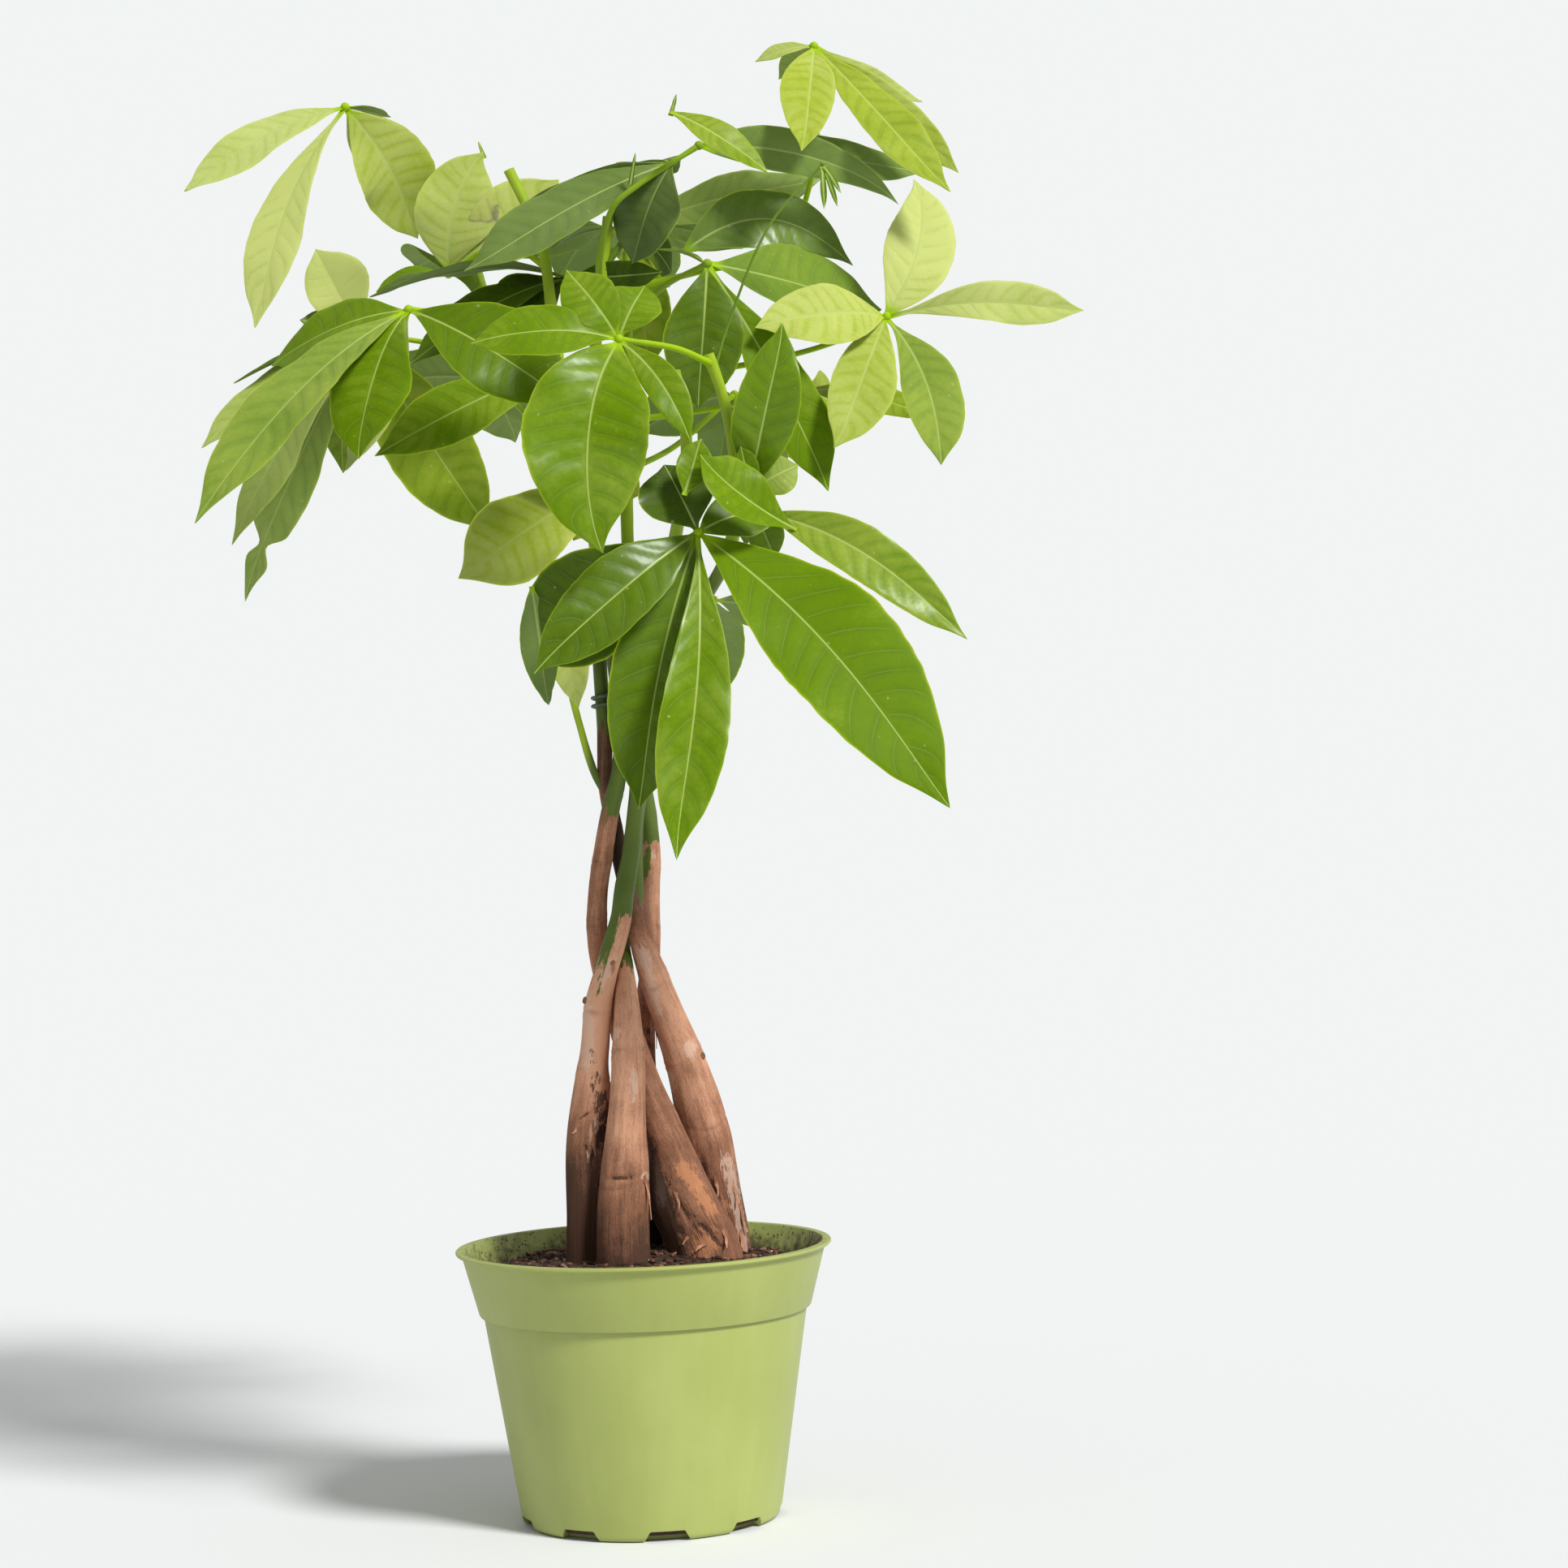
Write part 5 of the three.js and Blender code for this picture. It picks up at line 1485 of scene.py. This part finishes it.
@dataclass
class StemMaker:
    """Grows the braided stems with bark relief, node rings and cut ends.

    fine_step and coarse_step are the ring distances of a stem's lower and upper half.
    """

    finish: bpy.types.Material
    sides: int = 72
    fine_step: float = 1.0
    coarse_step: float = 3.0
    flare_fade: float = 30.0
    peel_thickness: float = 0.22
    stub_reach: float = 1.9

    def grow(self, name: str) -> bpy.types.Object:
        """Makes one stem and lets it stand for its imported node.

        Args:
            name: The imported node's name.

        Returns:
            The finished piece.
        """
        parts = self.rod(name, STEM_PLACES[name], CHARACTERS[name])
        if name == "stem_right":
            parts += self.rod("side_shoot", SIDE_SHOOT, SIDE_SHOOT_CHARACTER)
        parts += [self.stub(f"{name}_stub", stub) for stub in CHARACTERS[name].stubs]
        piece = joined(parts, f"{name}_grown")
        piece.data.materials.append(self.finish)
        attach(piece, "root")
        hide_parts(name)
        return piece

    def rod(self, name: str, places: tuple, character: StemCharacter) -> list[bpy.types.Object]:
        """Makes a stem's rod with its relief, its peels and the values its material reads.

        Args:
            name: The name of the rod, which also seeds its relief.
            places: Its places with radii.
            character: What tells it from the others.

        Returns:
            The mesh objects of the rod and of its peels.
        """
        true_places = [seen(place) for place in places]
        rough_line, _ = smooth_line(true_places, np.linspace(0, 1, 200))
        run = np.linalg.norm(np.diff(rough_line, axis=0), axis=1).sum()
        low_part = np.arange(0, run * 0.5, self.fine_step)
        high_part = np.arange(run * 0.5, run, self.coarse_step)
        shares = np.append(np.concatenate([low_part, high_part]), run) / run
        line, index = smooth_line(true_places, shares)
        radii = np.interp(index, np.arange(len(places)), [place[3] for place in places])
        ways = ways_round(line, self.sides + 1)
        angle = np.linspace(0, 2 * np.pi, self.sides + 1)
        height = line[:, 2]
        offset = sum(ord(letter) for letter in name)
        coarse = 1 - soft_step(character.coarse_to - 45, character.coarse_to + 30, height)
        marks = self.marks(
            line[:, None, :] + radii[:, None, None] * ways, ways, character.patches
        )
        across, away = radii[:, None] * np.cos(angle), radii[:, None] * np.sin(angle)
        upwards = (height * 0.09 + offset)[:, None]
        grain = np.stack(np.broadcast_arrays(across, away, upwards), axis=-1)
        relief = self.bark_relief(grain, radii, coarse, height + offset * 10)
        relief -= 0.4 * np.clip(marks[Mark.BARE], 0, 1) + 0.12 * marks[Mark.FLAKED]
        relief -= 1.0 * np.clip(marks[Mark.SPLIT], 0, 1)
        bearing, size, top = math.radians(character.flare[0]), *character.flare[1:]
        lobe = ways @ np.array([math.cos(bearing), math.sin(bearing), 0])
        fade = 1 - soft_step(top - self.flare_fade, top, height)
        relief += size * np.clip(lobe, 0, 1) ** 2 * fade[:, None]
        relief[:, -1] = relief[:, 0]
        ring_mark = self.raise_rings(relief, character.rings, radii, height, angle)
        rings = line[:, None, :] + (radii[:, None] + relief)[..., None] * ways
        green = soft_step(character.green_from, character.green_full, height)
        green = green + 0.9 * soft_step(380, 470, height)
        # The ages are partly the bark's own paleness and partly painted light and shade.
        foot, above, braid = character.ages
        upward = soft_step(character.coarse_to - 45, character.coarse_to + 50, height)
        age = foot + (above - foot) * upward
        age = age + (braid - above) * soft_step(236, 270, height)
        fields = self.plain_fields(grain, coarse[:, None], age[:, None], ring_mark)
        fields.update({kind.value: values for kind, values in marks.items()})
        fields["green"] = np.maximum(green[:, None], marks[Mark.GREEN])
        made = [rolled_tube(name, rings, fields, sharp=70.0)]
        for order, peel in enumerate(character.peels):
            made.append(self.peel(f"{name}_peel_{order}", peel, rings[:, :-1], ways[:, :-1]))
        return made

    def bark_relief(
        self, grain: np.ndarray, radii: np.ndarray, coarse: np.ndarray, height: np.ndarray
    ) -> np.ndarray:
        """Gives how far the bark's lumps, strips and streaks stand off the plain rod.

        Args:
            grain: The place in the bark's grain of each point.
            radii: The rod's radius at each ring.
            coarse: How rough the bark is at each ring.
            height: The height that seeds the noise at each ring.

        Returns:
            The relief in millimetres at each point.
        """
        relief = np.zeros(grain.shape[:2])
        for step in range(len(grain)):
            for side in range(self.sides):
                x, y = grain[step, side, 0], grain[step, side, 1]
                streak, strip, lump = (
                    noise.noise(Vector((x * around, y * around, height[step] * along)))
                    for around, along in ((0.9, 0.05), (0.45, 0.03), (0.12, 0.035))
                )
                relief[step, side] = (
                    0.05 * radii[step] * lump
                    + (0.08 + 0.3 * coarse[step]) * streak
                    + 0.35 * coarse[step] * strip
                )
        return relief

    def raise_rings(
        self, relief: np.ndarray, nodes: tuple[float, ...], radii: np.ndarray,
        height: np.ndarray, angle: np.ndarray,
    ) -> np.ndarray:
        """Raises the node rings in the relief, each with a groove along its middle.

        Args:
            relief: The stem's relief, which is changed.
            nodes: The heights of the nodes.
            radii: The rod's radius at each ring of points.
            height: The height of each ring of points.
            angle: The angle of each point in a ring.

        Returns:
            How dark a line the nodes draw at each point, from 0 to 1.
        """
        drawn = np.zeros_like(relief)
        for place in nodes:
            wobble = 1.4 * np.sin(angle + place) + 0.8 * np.sin(2 * angle + place * 0.7)
            off = height[:, None] - place - wobble[None, :]
            size = np.minimum(radii, 6.0)[:, None]
            relief += 0.06 * size * np.exp(-((off / 3.0) ** 2)) * (radii[:, None] < 9)
            relief -= 0.045 * size * np.exp(-((off / 0.7) ** 2))
            broken = 0.5 + 0.5 * np.sin(3 * angle + place)[None, :]
            drawn += np.exp(-((off / 0.8) ** 2)) * (0.12 + 0.6 * broken**2)
        return np.clip(drawn, 0, 1) * (radii[:, None] > 3.2)

    def plain_fields(
        self, grain: np.ndarray, coarse: float | np.ndarray, age: float | np.ndarray,
        ring: float | np.ndarray = 0.0,
    ) -> dict[str, np.ndarray]:
        """Gives the bark material's values where nothing marks the bark.

        Args:
            grain: The place in the bark's grain of each point.
            coarse: How rough the bark is.
            age: How pale the bark is, partly its own paleness and partly painted light and shade.
            ring: How dark a line a node draws.

        Returns:
            One array for each attribute that the material reads.
        """
        blank = np.zeros(grain.shape[:2])
        return {
            "grain": grain,
            "coarse": blank + coarse,
            "green": blank,
            "age": blank + age,
            "bare": blank,
            "flaked": blank,
            "split": blank,
            "dirt": blank,
            "ring": blank + ring,
        }

    def peel(
        self, name: str, peel: Peel, skin: np.ndarray, ways: np.ndarray
    ) -> bpy.types.Object:
        """Makes one loose strip of bark, fixed at its start.

        Args:
            name: The name of the new object.
            peel: The strip's table entry.
            skin: The stem's surface points.
            ways: The way outwards at each.

        Returns:
            The strip's mesh object.
        """
        x, z, facing = self.as_seen(skin, ways)
        off = (x - peel.x) ** 2 + (z - peel.z) ** 2 + 400 * (facing < 0.5)
        ring, column = np.unravel_index(np.argmin(off), off.shape)
        start, out = skin[ring, column], ways[ring, column]
        rise = skin[min(ring + 4, len(skin) - 1), column] - start
        rise /= np.linalg.norm(rise)
        beside = np.cross(rise, out)
        slant = math.radians(peel.slant)
        way = rise * math.cos(slant) - beside * math.sin(slant)
        across = np.cross(way, out)
        share = np.linspace(0, 1, 14)
        lift = -0.5 + (peel.lift + 0.5) * share**1.4
        sway = 0.12 * peel.long * np.sin(4 * share + peel.x)
        line = start + way * (share * peel.long)[:, None] + out * lift[:, None]
        line = line + across * (sway * share)[:, None]
        wide = peel.wide / 2 * (1 - 0.75 * share**1.6) * (1 + 0.25 * np.sin(17 * share + peel.z))
        angle = np.linspace(0, 2 * np.pi, 11)
        rings = (
            line[:, None, :]
            + across * (wide[:, None] * np.cos(angle))[..., None]
            + out * (self.peel_thickness * np.sin(angle))[None, :, None]
        )
        fields = self.plain_fields(rings * 0.6, coarse=0.8, age=0.3 + 0.5 * share[:, None])
        return rolled_tube(name, rings, fields, sharp=50.0)

    def as_seen(
        self, places: np.ndarray, ways: np.ndarray
    ) -> tuple[np.ndarray, np.ndarray, np.ndarray]:
        """Gives where points lie against the plane through the pot's axis, and which face the eye.

        Args:
            places: The points.
            ways: The way outwards at each.

        Returns:
            x and z as seen, and how much each point faces the eye, from 0 to 1.
        """
        eye = np.array(EYE)
        reach = -eye[1] / (places[..., 1] - eye[1])
        x = eye[0] + (places[..., 0] - eye[0]) * reach
        z = eye[2] + (places[..., 2] - eye[2]) * reach
        towards = eye - places
        towards /= np.linalg.norm(towards, axis=-1)[..., None]
        return x, z, soft_step(-0.05, 0.2, (ways * towards).sum(axis=-1))

    def marks(
        self, places: np.ndarray, ways: np.ndarray, patches: tuple[Patch, ...]
    ) -> dict[Mark, np.ndarray]:
        """Says how strongly each kind of mark lies on each point of a stem.

        Args:
            places: The stem's points.
            ways: The way outwards at each point.
            patches: The marks, as they are seen from the eye.

        Returns:
            A field for each kind of mark, 1 in the middle of a patch and 0 outside.
        """
        x, z, facing = self.as_seen(places, ways)
        fields = {kind: np.zeros(places.shape[:2]) for kind in Mark}
        for patch in patches:
            slant = math.radians(patch.slant)
            along = (z - patch.z) * math.cos(slant) + (x - patch.x) * math.sin(slant)
            beside = (x - patch.x) * math.cos(slant) - (z - patch.z) * math.sin(slant)
            off = (2 * along / patch.long) ** 2 + (2 * beside / patch.wide) ** 2
            fields[patch.kind] += facing * np.exp(-0.8 * off)
        return fields

    def stub(self, name: str, stub: Stub) -> bpy.types.Object:
        """Makes the cut stub of an old side branch.

        Args:
            name: The name of the new object.
            stub: The stub's table entry.

        Returns:
            The stub's mesh object.
        """
        shares = np.linspace(0, 1, 9)
        reach = shares * stub.radius * self.stub_reach
        line = np.array(seen(stub.place)) + np.array(stub.way) * reach[:, None]
        size = stub.radius * (1 - 0.2 * shares**2)
        size = size * np.where(shares > 0.99, 0.7, 1.0)
        rings = line[:, None, :] + size[:, None, None] * ways_round(line, 17)
        cut = (shares > 0.95)[:, None]
        fields = self.plain_fields(rings * 0.5, coarse=0.5, age=0.3, ring=cut)
        return rolled_tube(name, rings, fields, sharp=50.0)


# ---------------------------------------------------------------- pot


@dataclass
class PotMaker:
    """Moulds the pot: a turned wall with a band and lip, and feet between notches."""

    finish: bpy.types.Material
    height: float = 120.0
    rim_radius: float = 82.5
    band_top_radius: float = 80.0
    band_bottom_radius: float = 73.0
    band_height: float = 28.5
    body_top_radius: float = 71.0
    base_radius: float = 57.0
    corner_radius: float = 3.0
    wall: float = 1.6
    floor: float = 2.4
    lip_height: float = 1.4
    sides: int = 180
    notch_count: int = 9
    notch_width: float = 21.0
    notch_top_width: float = 15.0
    notch_height: float = 4.6
    notch_depth: float = 7.0
    first_notch: float = 8.8

    def outline(self) -> list[tuple[float, float]]:
        """Gives half the pot's section, from the base's middle out, up and back to the floor.

        Returns:
            Pairs of radius and height in millimetres.
        """
        band_foot = self.height - self.band_height
        slope = (self.body_top_radius - self.base_radius) / band_foot
        corner = [
            (
                self.base_radius - self.corner_radius * (1 - math.sin(a)) + slope * 0.5,
                self.corner_radius * (1 - math.cos(a)),
            )
            for a in np.linspace(0, math.pi / 2 - 0.15, 6)
        ]
        lip = self.height - self.lip_height
        inner_base = self.base_radius - self.wall + slope * self.floor
        return [
            (self.base_radius * 0.5, 0.0),
            *corner,
            (self.body_top_radius, band_foot - 0.3),
            (self.body_top_radius, band_foot + 0.1),
            (self.band_bottom_radius - 0.4, band_foot + 0.15),
            (self.band_bottom_radius, band_foot + 0.7),
            (self.band_top_radius - 0.2, lip - 1.0),
            (self.band_top_radius + 0.5, lip - 0.45),
            (self.rim_radius - 0.35, lip - 0.1),
            (self.rim_radius, lip + 0.3),
            (self.rim_radius, self.height - 0.4),
            (self.rim_radius - 0.35, self.height),
            (self.band_top_radius - self.wall + 0.5, self.height),
            (self.band_top_radius - self.wall, self.height - 0.6),
            (self.band_bottom_radius - self.wall, band_foot + self.wall),
            (self.body_top_radius - self.wall, band_foot - 0.8),
            (inner_base, self.floor + 1.5),
            (inner_base - 1.5, self.floor),
            (inner_base * 0.5, self.floor),
        ]

    def mould(self) -> bpy.types.Object:
        """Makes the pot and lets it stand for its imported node.

        Returns:
            The finished piece.
        """
        outline = self.outline()
        radius, height = outline[0]
        bpy.ops.mesh.primitive_circle_add(
            vertices=self.sides, radius=radius * MM, fill_type="NGON", location=(0, 0, height * MM)
        )
        pot = applied(bpy.context.view_layer.objects.active)
        pot.name = "pot_moulded"
        bpy.ops.object.mode_set(mode="EDIT")
        bpy.ops.mesh.select_all(action="DESELECT")
        bpy.ops.mesh.select_mode(type="EDGE")
        bpy.ops.mesh.select_all(action="SELECT")
        bpy.ops.mesh.region_to_loop()
        for wider, higher in outline[1:]:
            bpy.ops.mesh.extrude_edges_move(
                TRANSFORM_OT_translate={"value": (0, 0, (higher - height) * MM)}
            )
            share = wider / radius
            bpy.ops.transform.resize(value=(share, share, 1), center_override=(0, 0, 0))
            radius, height = wider, higher
        bpy.ops.mesh.fill_holes(sides=0)
        bpy.ops.mesh.select_all(action="SELECT")
        bpy.ops.mesh.normals_make_consistent(inside=False)
        bpy.ops.object.mode_set(mode="OBJECT")
        for notch in range(self.notch_count):
            self.cut_notch(pot, math.radians(self.first_notch + 360 * notch / self.notch_count))
        self.mark_inside(pot)
        only(pot)
        bpy.ops.object.shade_smooth_by_angle(angle=math.radians(32))
        pot.data.materials.clear()
        pot.data.materials.append(self.finish)
        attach(pot, "root")
        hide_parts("pot")
        return pot

    def cut_notch(self, pot: bpy.types.Object, angle: float) -> None:
        """Cuts one notch through the edge of the base.

        Args:
            pot: The pot.
            angle: Where round the base, in radians.
        """
        middle = self.base_radius - self.notch_depth / 2 + 6
        out = Vector((math.sin(angle), -math.cos(angle), 0))
        bpy.ops.mesh.primitive_cube_add(size=1.0)
        cutter = bpy.context.view_layer.objects.active
        bottom = -1.0
        for vertex in cutter.data.vertices:
            top = vertex.co.z > 0
            width = self.notch_top_width if top else self.notch_width
            reach = middle + vertex.co.y * (self.notch_depth + 12)
            sideways = Vector((math.cos(angle), math.sin(angle), 0)) * (vertex.co.x * width)
            place = out * reach + sideways
            vertex.co = Vector((place.x, place.y, self.notch_height if top else bottom)) * MM
        only(cutter)
        bpy.ops.object.mode_set(mode="EDIT")
        bpy.ops.mesh.select_all(action="SELECT")
        bpy.ops.mesh.normals_make_consistent(inside=False)
        bpy.ops.mesh.bevel(offset=0.6 * MM, segments=3, affect="EDGES")
        bpy.ops.object.mode_set(mode="OBJECT")
        only(pot)
        cut = pot.modifiers.new("notch", "BOOLEAN")
        cut.operation = "DIFFERENCE"
        cut.solver = "EXACT"
        cut.object = cutter
        bpy.ops.object.modifier_apply(modifier=cut.name)
        bpy.data.objects.remove(cutter)

    def mark_inside(self, pot: bpy.types.Object) -> None:
        """Marks the inner wall, and how near to the soil each of its points is."""
        co = np.array([vertex.co for vertex in pot.data.vertices]) / MM
        radius = np.hypot(co[:, 0], co[:, 1])
        band_foot = self.height - self.band_height
        slope = (self.band_top_radius - self.band_bottom_radius) / self.band_height
        body_slope = (self.body_top_radius - self.base_radius) / band_foot
        wall = np.where(
            co[:, 2] > band_foot,
            self.band_bottom_radius + slope * (co[:, 2] - band_foot),
            self.base_radius + body_slope * co[:, 2],
        )
        inside = (radius < wall - self.wall * 0.6) & (co[:, 2] > self.floor + 3)
        keep_field(pot.data, "inside", inside.astype(float))
        keep_field(pot.data, "soiled", 1 - soft_step(105, 122, co[:, 2]))


# ---------------------------------------------------------------- soil


@dataclass
class SoilMaker:
    """Fills the pot: a heaped bed of mix, and loose bits scattered over it.

    sunk is the bed's outline below its surface, in pairs of radius and height, and edge the
    surface's radius.
    """

    bed_finish: bpy.types.Material
    bit_finish: bpy.types.Material
    top: float = 105.0
    heap: float = 2.5
    rise: float = 6.5
    mound: float = 3.5
    roughness: float = 1.1
    edge: float = 74.2
    sunk: tuple[tuple[float, float], ...] = ((55.5, 2.7), (68.7, 88.5), (68.7, 94.5))
    sides: int = 120
    rings: int = 46

    def height(self, x: float, y: float) -> float:
        """Gives the height of the bed at a place.

        Args:
            x: Across, in millimetres.
            y: Away, in millimetres.

        Returns:
            The height in millimetres.
        """
        radius = math.hypot(x, y)
        angle = math.atan2(y, x)
        share = min(1.0, radius / self.edge)
        heap = self.heap * (1 - share**2) + self.rise * (1 - share**12)
        heap += self.mound * math.exp(-((x - 13) ** 2 + (y - 2) ** 2) / 420)
        swell = math.sin(3 * angle + radius * 0.11) * math.cos(2 * angle - radius * 0.17)
        lumps = noise.fractal(Vector((x * 0.09, y * 0.09, 3.0)), 1.0, 2.0, 4)
        grit = noise.noise(Vector((x * 0.7, y * 0.7, 9.0)))
        return self.top + heap + self.roughness * swell * 0.6 + 0.9 * lumps + 0.5 * grit

    def bed(self) -> bpy.types.Object:
        """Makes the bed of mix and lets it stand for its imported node.

        Returns:
            The finished piece.
        """
        angle = np.linspace(0, 2 * np.pi, self.sides + 1)
        rows = [
            [(radius * math.cos(a), radius * math.sin(a), height) for a in angle]
            for radius, height in self.sunk
        ]
        for ring in range(self.rings, 0, -1):
            radius = self.edge * ring / self.rings
            spots = [(radius * math.cos(a), radius * math.sin(a)) for a in angle[:-1]]
            row = [(x, y, self.height(x, y)) for x, y in spots]
            rows.append([*row, row[0]])
        places = np.array(rows)
        piece = rolled_tube("soil_bed", places, {}, sharp=80.0)
        piece.data.materials.append(self.bed_finish)
        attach(piece, "root")
        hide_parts("soil")
        return piece

    def bits(self, rng: random.Random, count: int = 2200) -> bpy.types.Object:
        """Scatters crumbs of peat, bark chips and perlite over the bed.

        Args:
            rng: The random draws.
            count: How many bits.

        Returns:
            The finished piece.
        """
        bpy.ops.mesh.primitive_ico_sphere_add(subdivisions=1, radius=1.0)
        model = bpy.context.view_layer.objects.active
        shape = np.array([vertex.co for vertex in model.data.vertices])
        faces = np.array([list(face.vertices) for face in model.data.polygons])
        bpy.data.objects.remove(model)
        points, corners, kinds = [], [], []
        while len(kinds) < count:
            radius = (self.edge - 2.0) * math.sqrt(rng.random())
            angle = rng.uniform(0, 2 * math.pi)
            x, y = radius * math.cos(angle), radius * math.sin(angle)
            draw = rng.random()
            if draw < 0.8:
                size, flat, kind = rng.uniform(0.4, 1.5), 0.8, rng.uniform(0.0, 0.4)
            elif draw < 0.97:
                size, flat, kind = rng.uniform(0.6, 2.4), 0.45, rng.uniform(0.4, 0.66)
            else:
                size, flat, kind = rng.uniform(0.4, 0.9), 0.9, 0.97
            stretch = np.array([rng.uniform(0.6, 1.5), rng.uniform(0.5, 1.0), flat])
            spin = Matrix.Rotation(rng.uniform(0, PHASES), 3, "Z")
            turn = spin @ Matrix.Rotation(rng.uniform(-0.7, 0.7), 3, "X")
            ragged = shape * np.array([[rng.uniform(0.75, 1.25)] for _ in shape])
            place = (ragged * stretch * size) @ np.array(turn).T
            place = place + np.array([x, y, self.height(x, y) + 0.25 * size])
            corners.append(faces + len(points) * len(shape))
            points.append(place)
            kinds.append(kind)
        mesh = bpy.data.meshes.new("soil_bits")
        vertices = (np.concatenate(points) * MM).tolist()
        mesh.from_pydata(vertices, [], np.concatenate(corners).tolist())
        keep_field(mesh, "kind", np.repeat(np.array(kinds), len(shape)))
        piece = bpy.data.objects.new("soil_bits", mesh)
        bpy.context.scene.collection.objects.link(piece)
        piece.data.materials.append(self.bit_finish)
        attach(piece, "root")
        return piece


# ---------------------------------------------------------------- tie


@dataclass
class TieMaker:
    """Winds the tie: two turns of plastic-skinned wire round the right stem."""

    finish: bpy.types.Material
    x: float = -10.0
    depth: float = 6.4
    bottom: float = 355.0
    stem_radius: float = 3.6
    gap: float = 0.3
    turns: int = 2
    pitch: float = 3.6
    wire: float = 0.8

    def wind(self) -> bpy.types.Object:
        """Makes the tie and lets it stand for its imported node.

        Returns:
            The finished piece.
        """
        radius = self.stem_radius + self.gap + self.wire
        places = []
        steps = 24 * self.turns
        for step in range(steps + 1):
            angle = 2 * math.pi * self.turns * step / steps
            height = self.bottom + self.pitch * self.turns * step / steps
            x = self.x + radius * math.cos(angle)
            places.append(seen((x, self.depth + radius * math.sin(angle), height)))
        line, _ = smooth_line(places, np.linspace(0, 1, 190))
        ridge = 1 + 0.06 * np.sin(3 * np.linspace(0, 2 * np.pi, 17))[None, :]
        rings = line[:, None, :] + (self.wire * ridge)[..., None] * ways_round(line, 17)
        piece = rolled_tube("twist_tie_wound", rings, {}, sharp=50.0)
        piece.data.materials.append(self.finish)
        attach(piece, "root")
        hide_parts("twist_tie")
        return piece


# ---------------------------------------------------------------- stage


@dataclass
class Studio:
    """The plain floor, the soft light and the camera."""

    background: Rgb = srgb(241, 244, 243)
    floor_colour: Rgb = (0.758, 0.772, 0.772)
    floor_size: float = 60.0
    floor_drop: float = 0.0002
    field_of_view: float = 24.33
    roll: float = 1.86
    sky: float = 0.45
    sun: float = 3.4
    sun_angle: float = 13.0
    sun_from: Place = (0.72, -0.78, 0.95)

    def set_up(self) -> None:
        """Builds floor, world, lamps and camera."""
        self.floor()
        self.world()
        self.lamp()
        self.camera()
        bpy.context.scene.view_settings.view_transform = "Standard"

    def floor(self) -> None:
        """Lays a plain pale floor."""
        bpy.ops.mesh.primitive_plane_add(
            size=self.floor_size, location=(0, 0, -self.floor_drop)
        )
        floor = applied(bpy.context.view_layer.objects.active)
        floor.name = "floor"
        material = bpy.data.materials.new("floor")
        material.use_nodes = True
        look = {
            "Base Color": rgba(self.floor_colour), "Roughness": 1.0, "Specular IOR Level": 0.0
        }
        Nodes(material.node_tree).feed(material.node_tree.nodes["Principled BSDF"], look)
        floor.data.materials.append(material)

    def world(self) -> None:
        """Lights the room evenly, and shows the pale background to the camera alone."""
        world = bpy.data.worlds.new("room")
        bpy.context.scene.world = world
        world.use_nodes = True
        nodes = Nodes(world.node_tree)
        world.node_tree.nodes.clear()
        light = nodes.add("ShaderNodeBackground", {0: (1, 1, 1, 1), 1: self.sky})
        shown = nodes.add("ShaderNodeBackground", {0: rgba(self.background), 1: 1.0})
        path = nodes.add("ShaderNodeLightPath")
        shares = {0: path.outputs["Is Camera Ray"], 1: light.outputs[0], 2: shown.outputs[0]}
        mix = nodes.add("ShaderNodeMixShader", shares)
        nodes.add("ShaderNodeOutputWorld", {0: mix.outputs[0]})

    def lamp(self) -> None:
        """Adds the large soft key light from the right."""
        data = bpy.data.lights.new("key", "SUN")
        data.energy = self.sun
        data.angle = math.radians(self.sun_angle)
        lamp = bpy.data.objects.new("key", data)
        bpy.context.scene.collection.objects.link(lamp)
        lamp.rotation_euler = Vector(self.sun_from).to_track_quat("Z", "Y").to_euler()

    def camera(self) -> None:
        """Stands the camera where the plant is seen from."""
        data = bpy.data.cameras.new("camera")
        data.sensor_width = 36.0
        data.lens = 18.0 / math.tan(math.radians(self.field_of_view / 2))
        camera = bpy.data.objects.new("camera", data)
        bpy.context.scene.collection.objects.link(camera)
        turn = math.radians(self.roll)
        right = Vector((math.cos(turn), 0, -math.sin(turn)))
        upward = Vector((math.sin(turn), 0, math.cos(turn)))
        back = right.cross(upward)
        camera.matrix_world = Matrix.Translation(EYE * MM) @ Matrix(
            (right, upward, back)
        ).transposed().to_4x4()
        data.clip_end = 100.0
        bpy.context.scene.camera = camera


# ---------------------------------------------------------------- the whole plant


def plant_pieces() -> Iterator[bpy.types.Object]:
    """Builds the plant's pieces in order.

    Yields:
        Each finished piece.
    """
    specks = speckle_group()
    leaf_maker = LeafMaker(LeafFinish(specks=specks).material())
    for number, leaf in enumerate(LEAVES):
        yield leaf_maker.grow(leaf, random.Random(SEED + number))
    stem_maker = StemMaker(BarkFinish().material())
    for name in STEM_PLACES:
        yield stem_maker.grow(name)
    yield PotMaker(PotFinish(dirt=specks).material()).mould()
    soil_maker = SoilMaker(SoilFinish().material(), CrumbFinish().material())
    yield soil_maker.bed()
    yield soil_maker.bits(random.Random(SEED))
    yield TieMaker(TieFinish().material()).wind()


def main() -> None:
    """Builds the stage and every piece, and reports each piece."""
    logging.basicConfig(level=logging.INFO, format="%(name)s: %(message)s")
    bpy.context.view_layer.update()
    bpy.ops.object.select_all(action="DESELECT")
    Studio().set_up()
    for piece in plant_pieces():
        LOG.info("%s: %d faces", piece.name, len(piece.data.polygons))


if __name__ == "__main__":
    main()
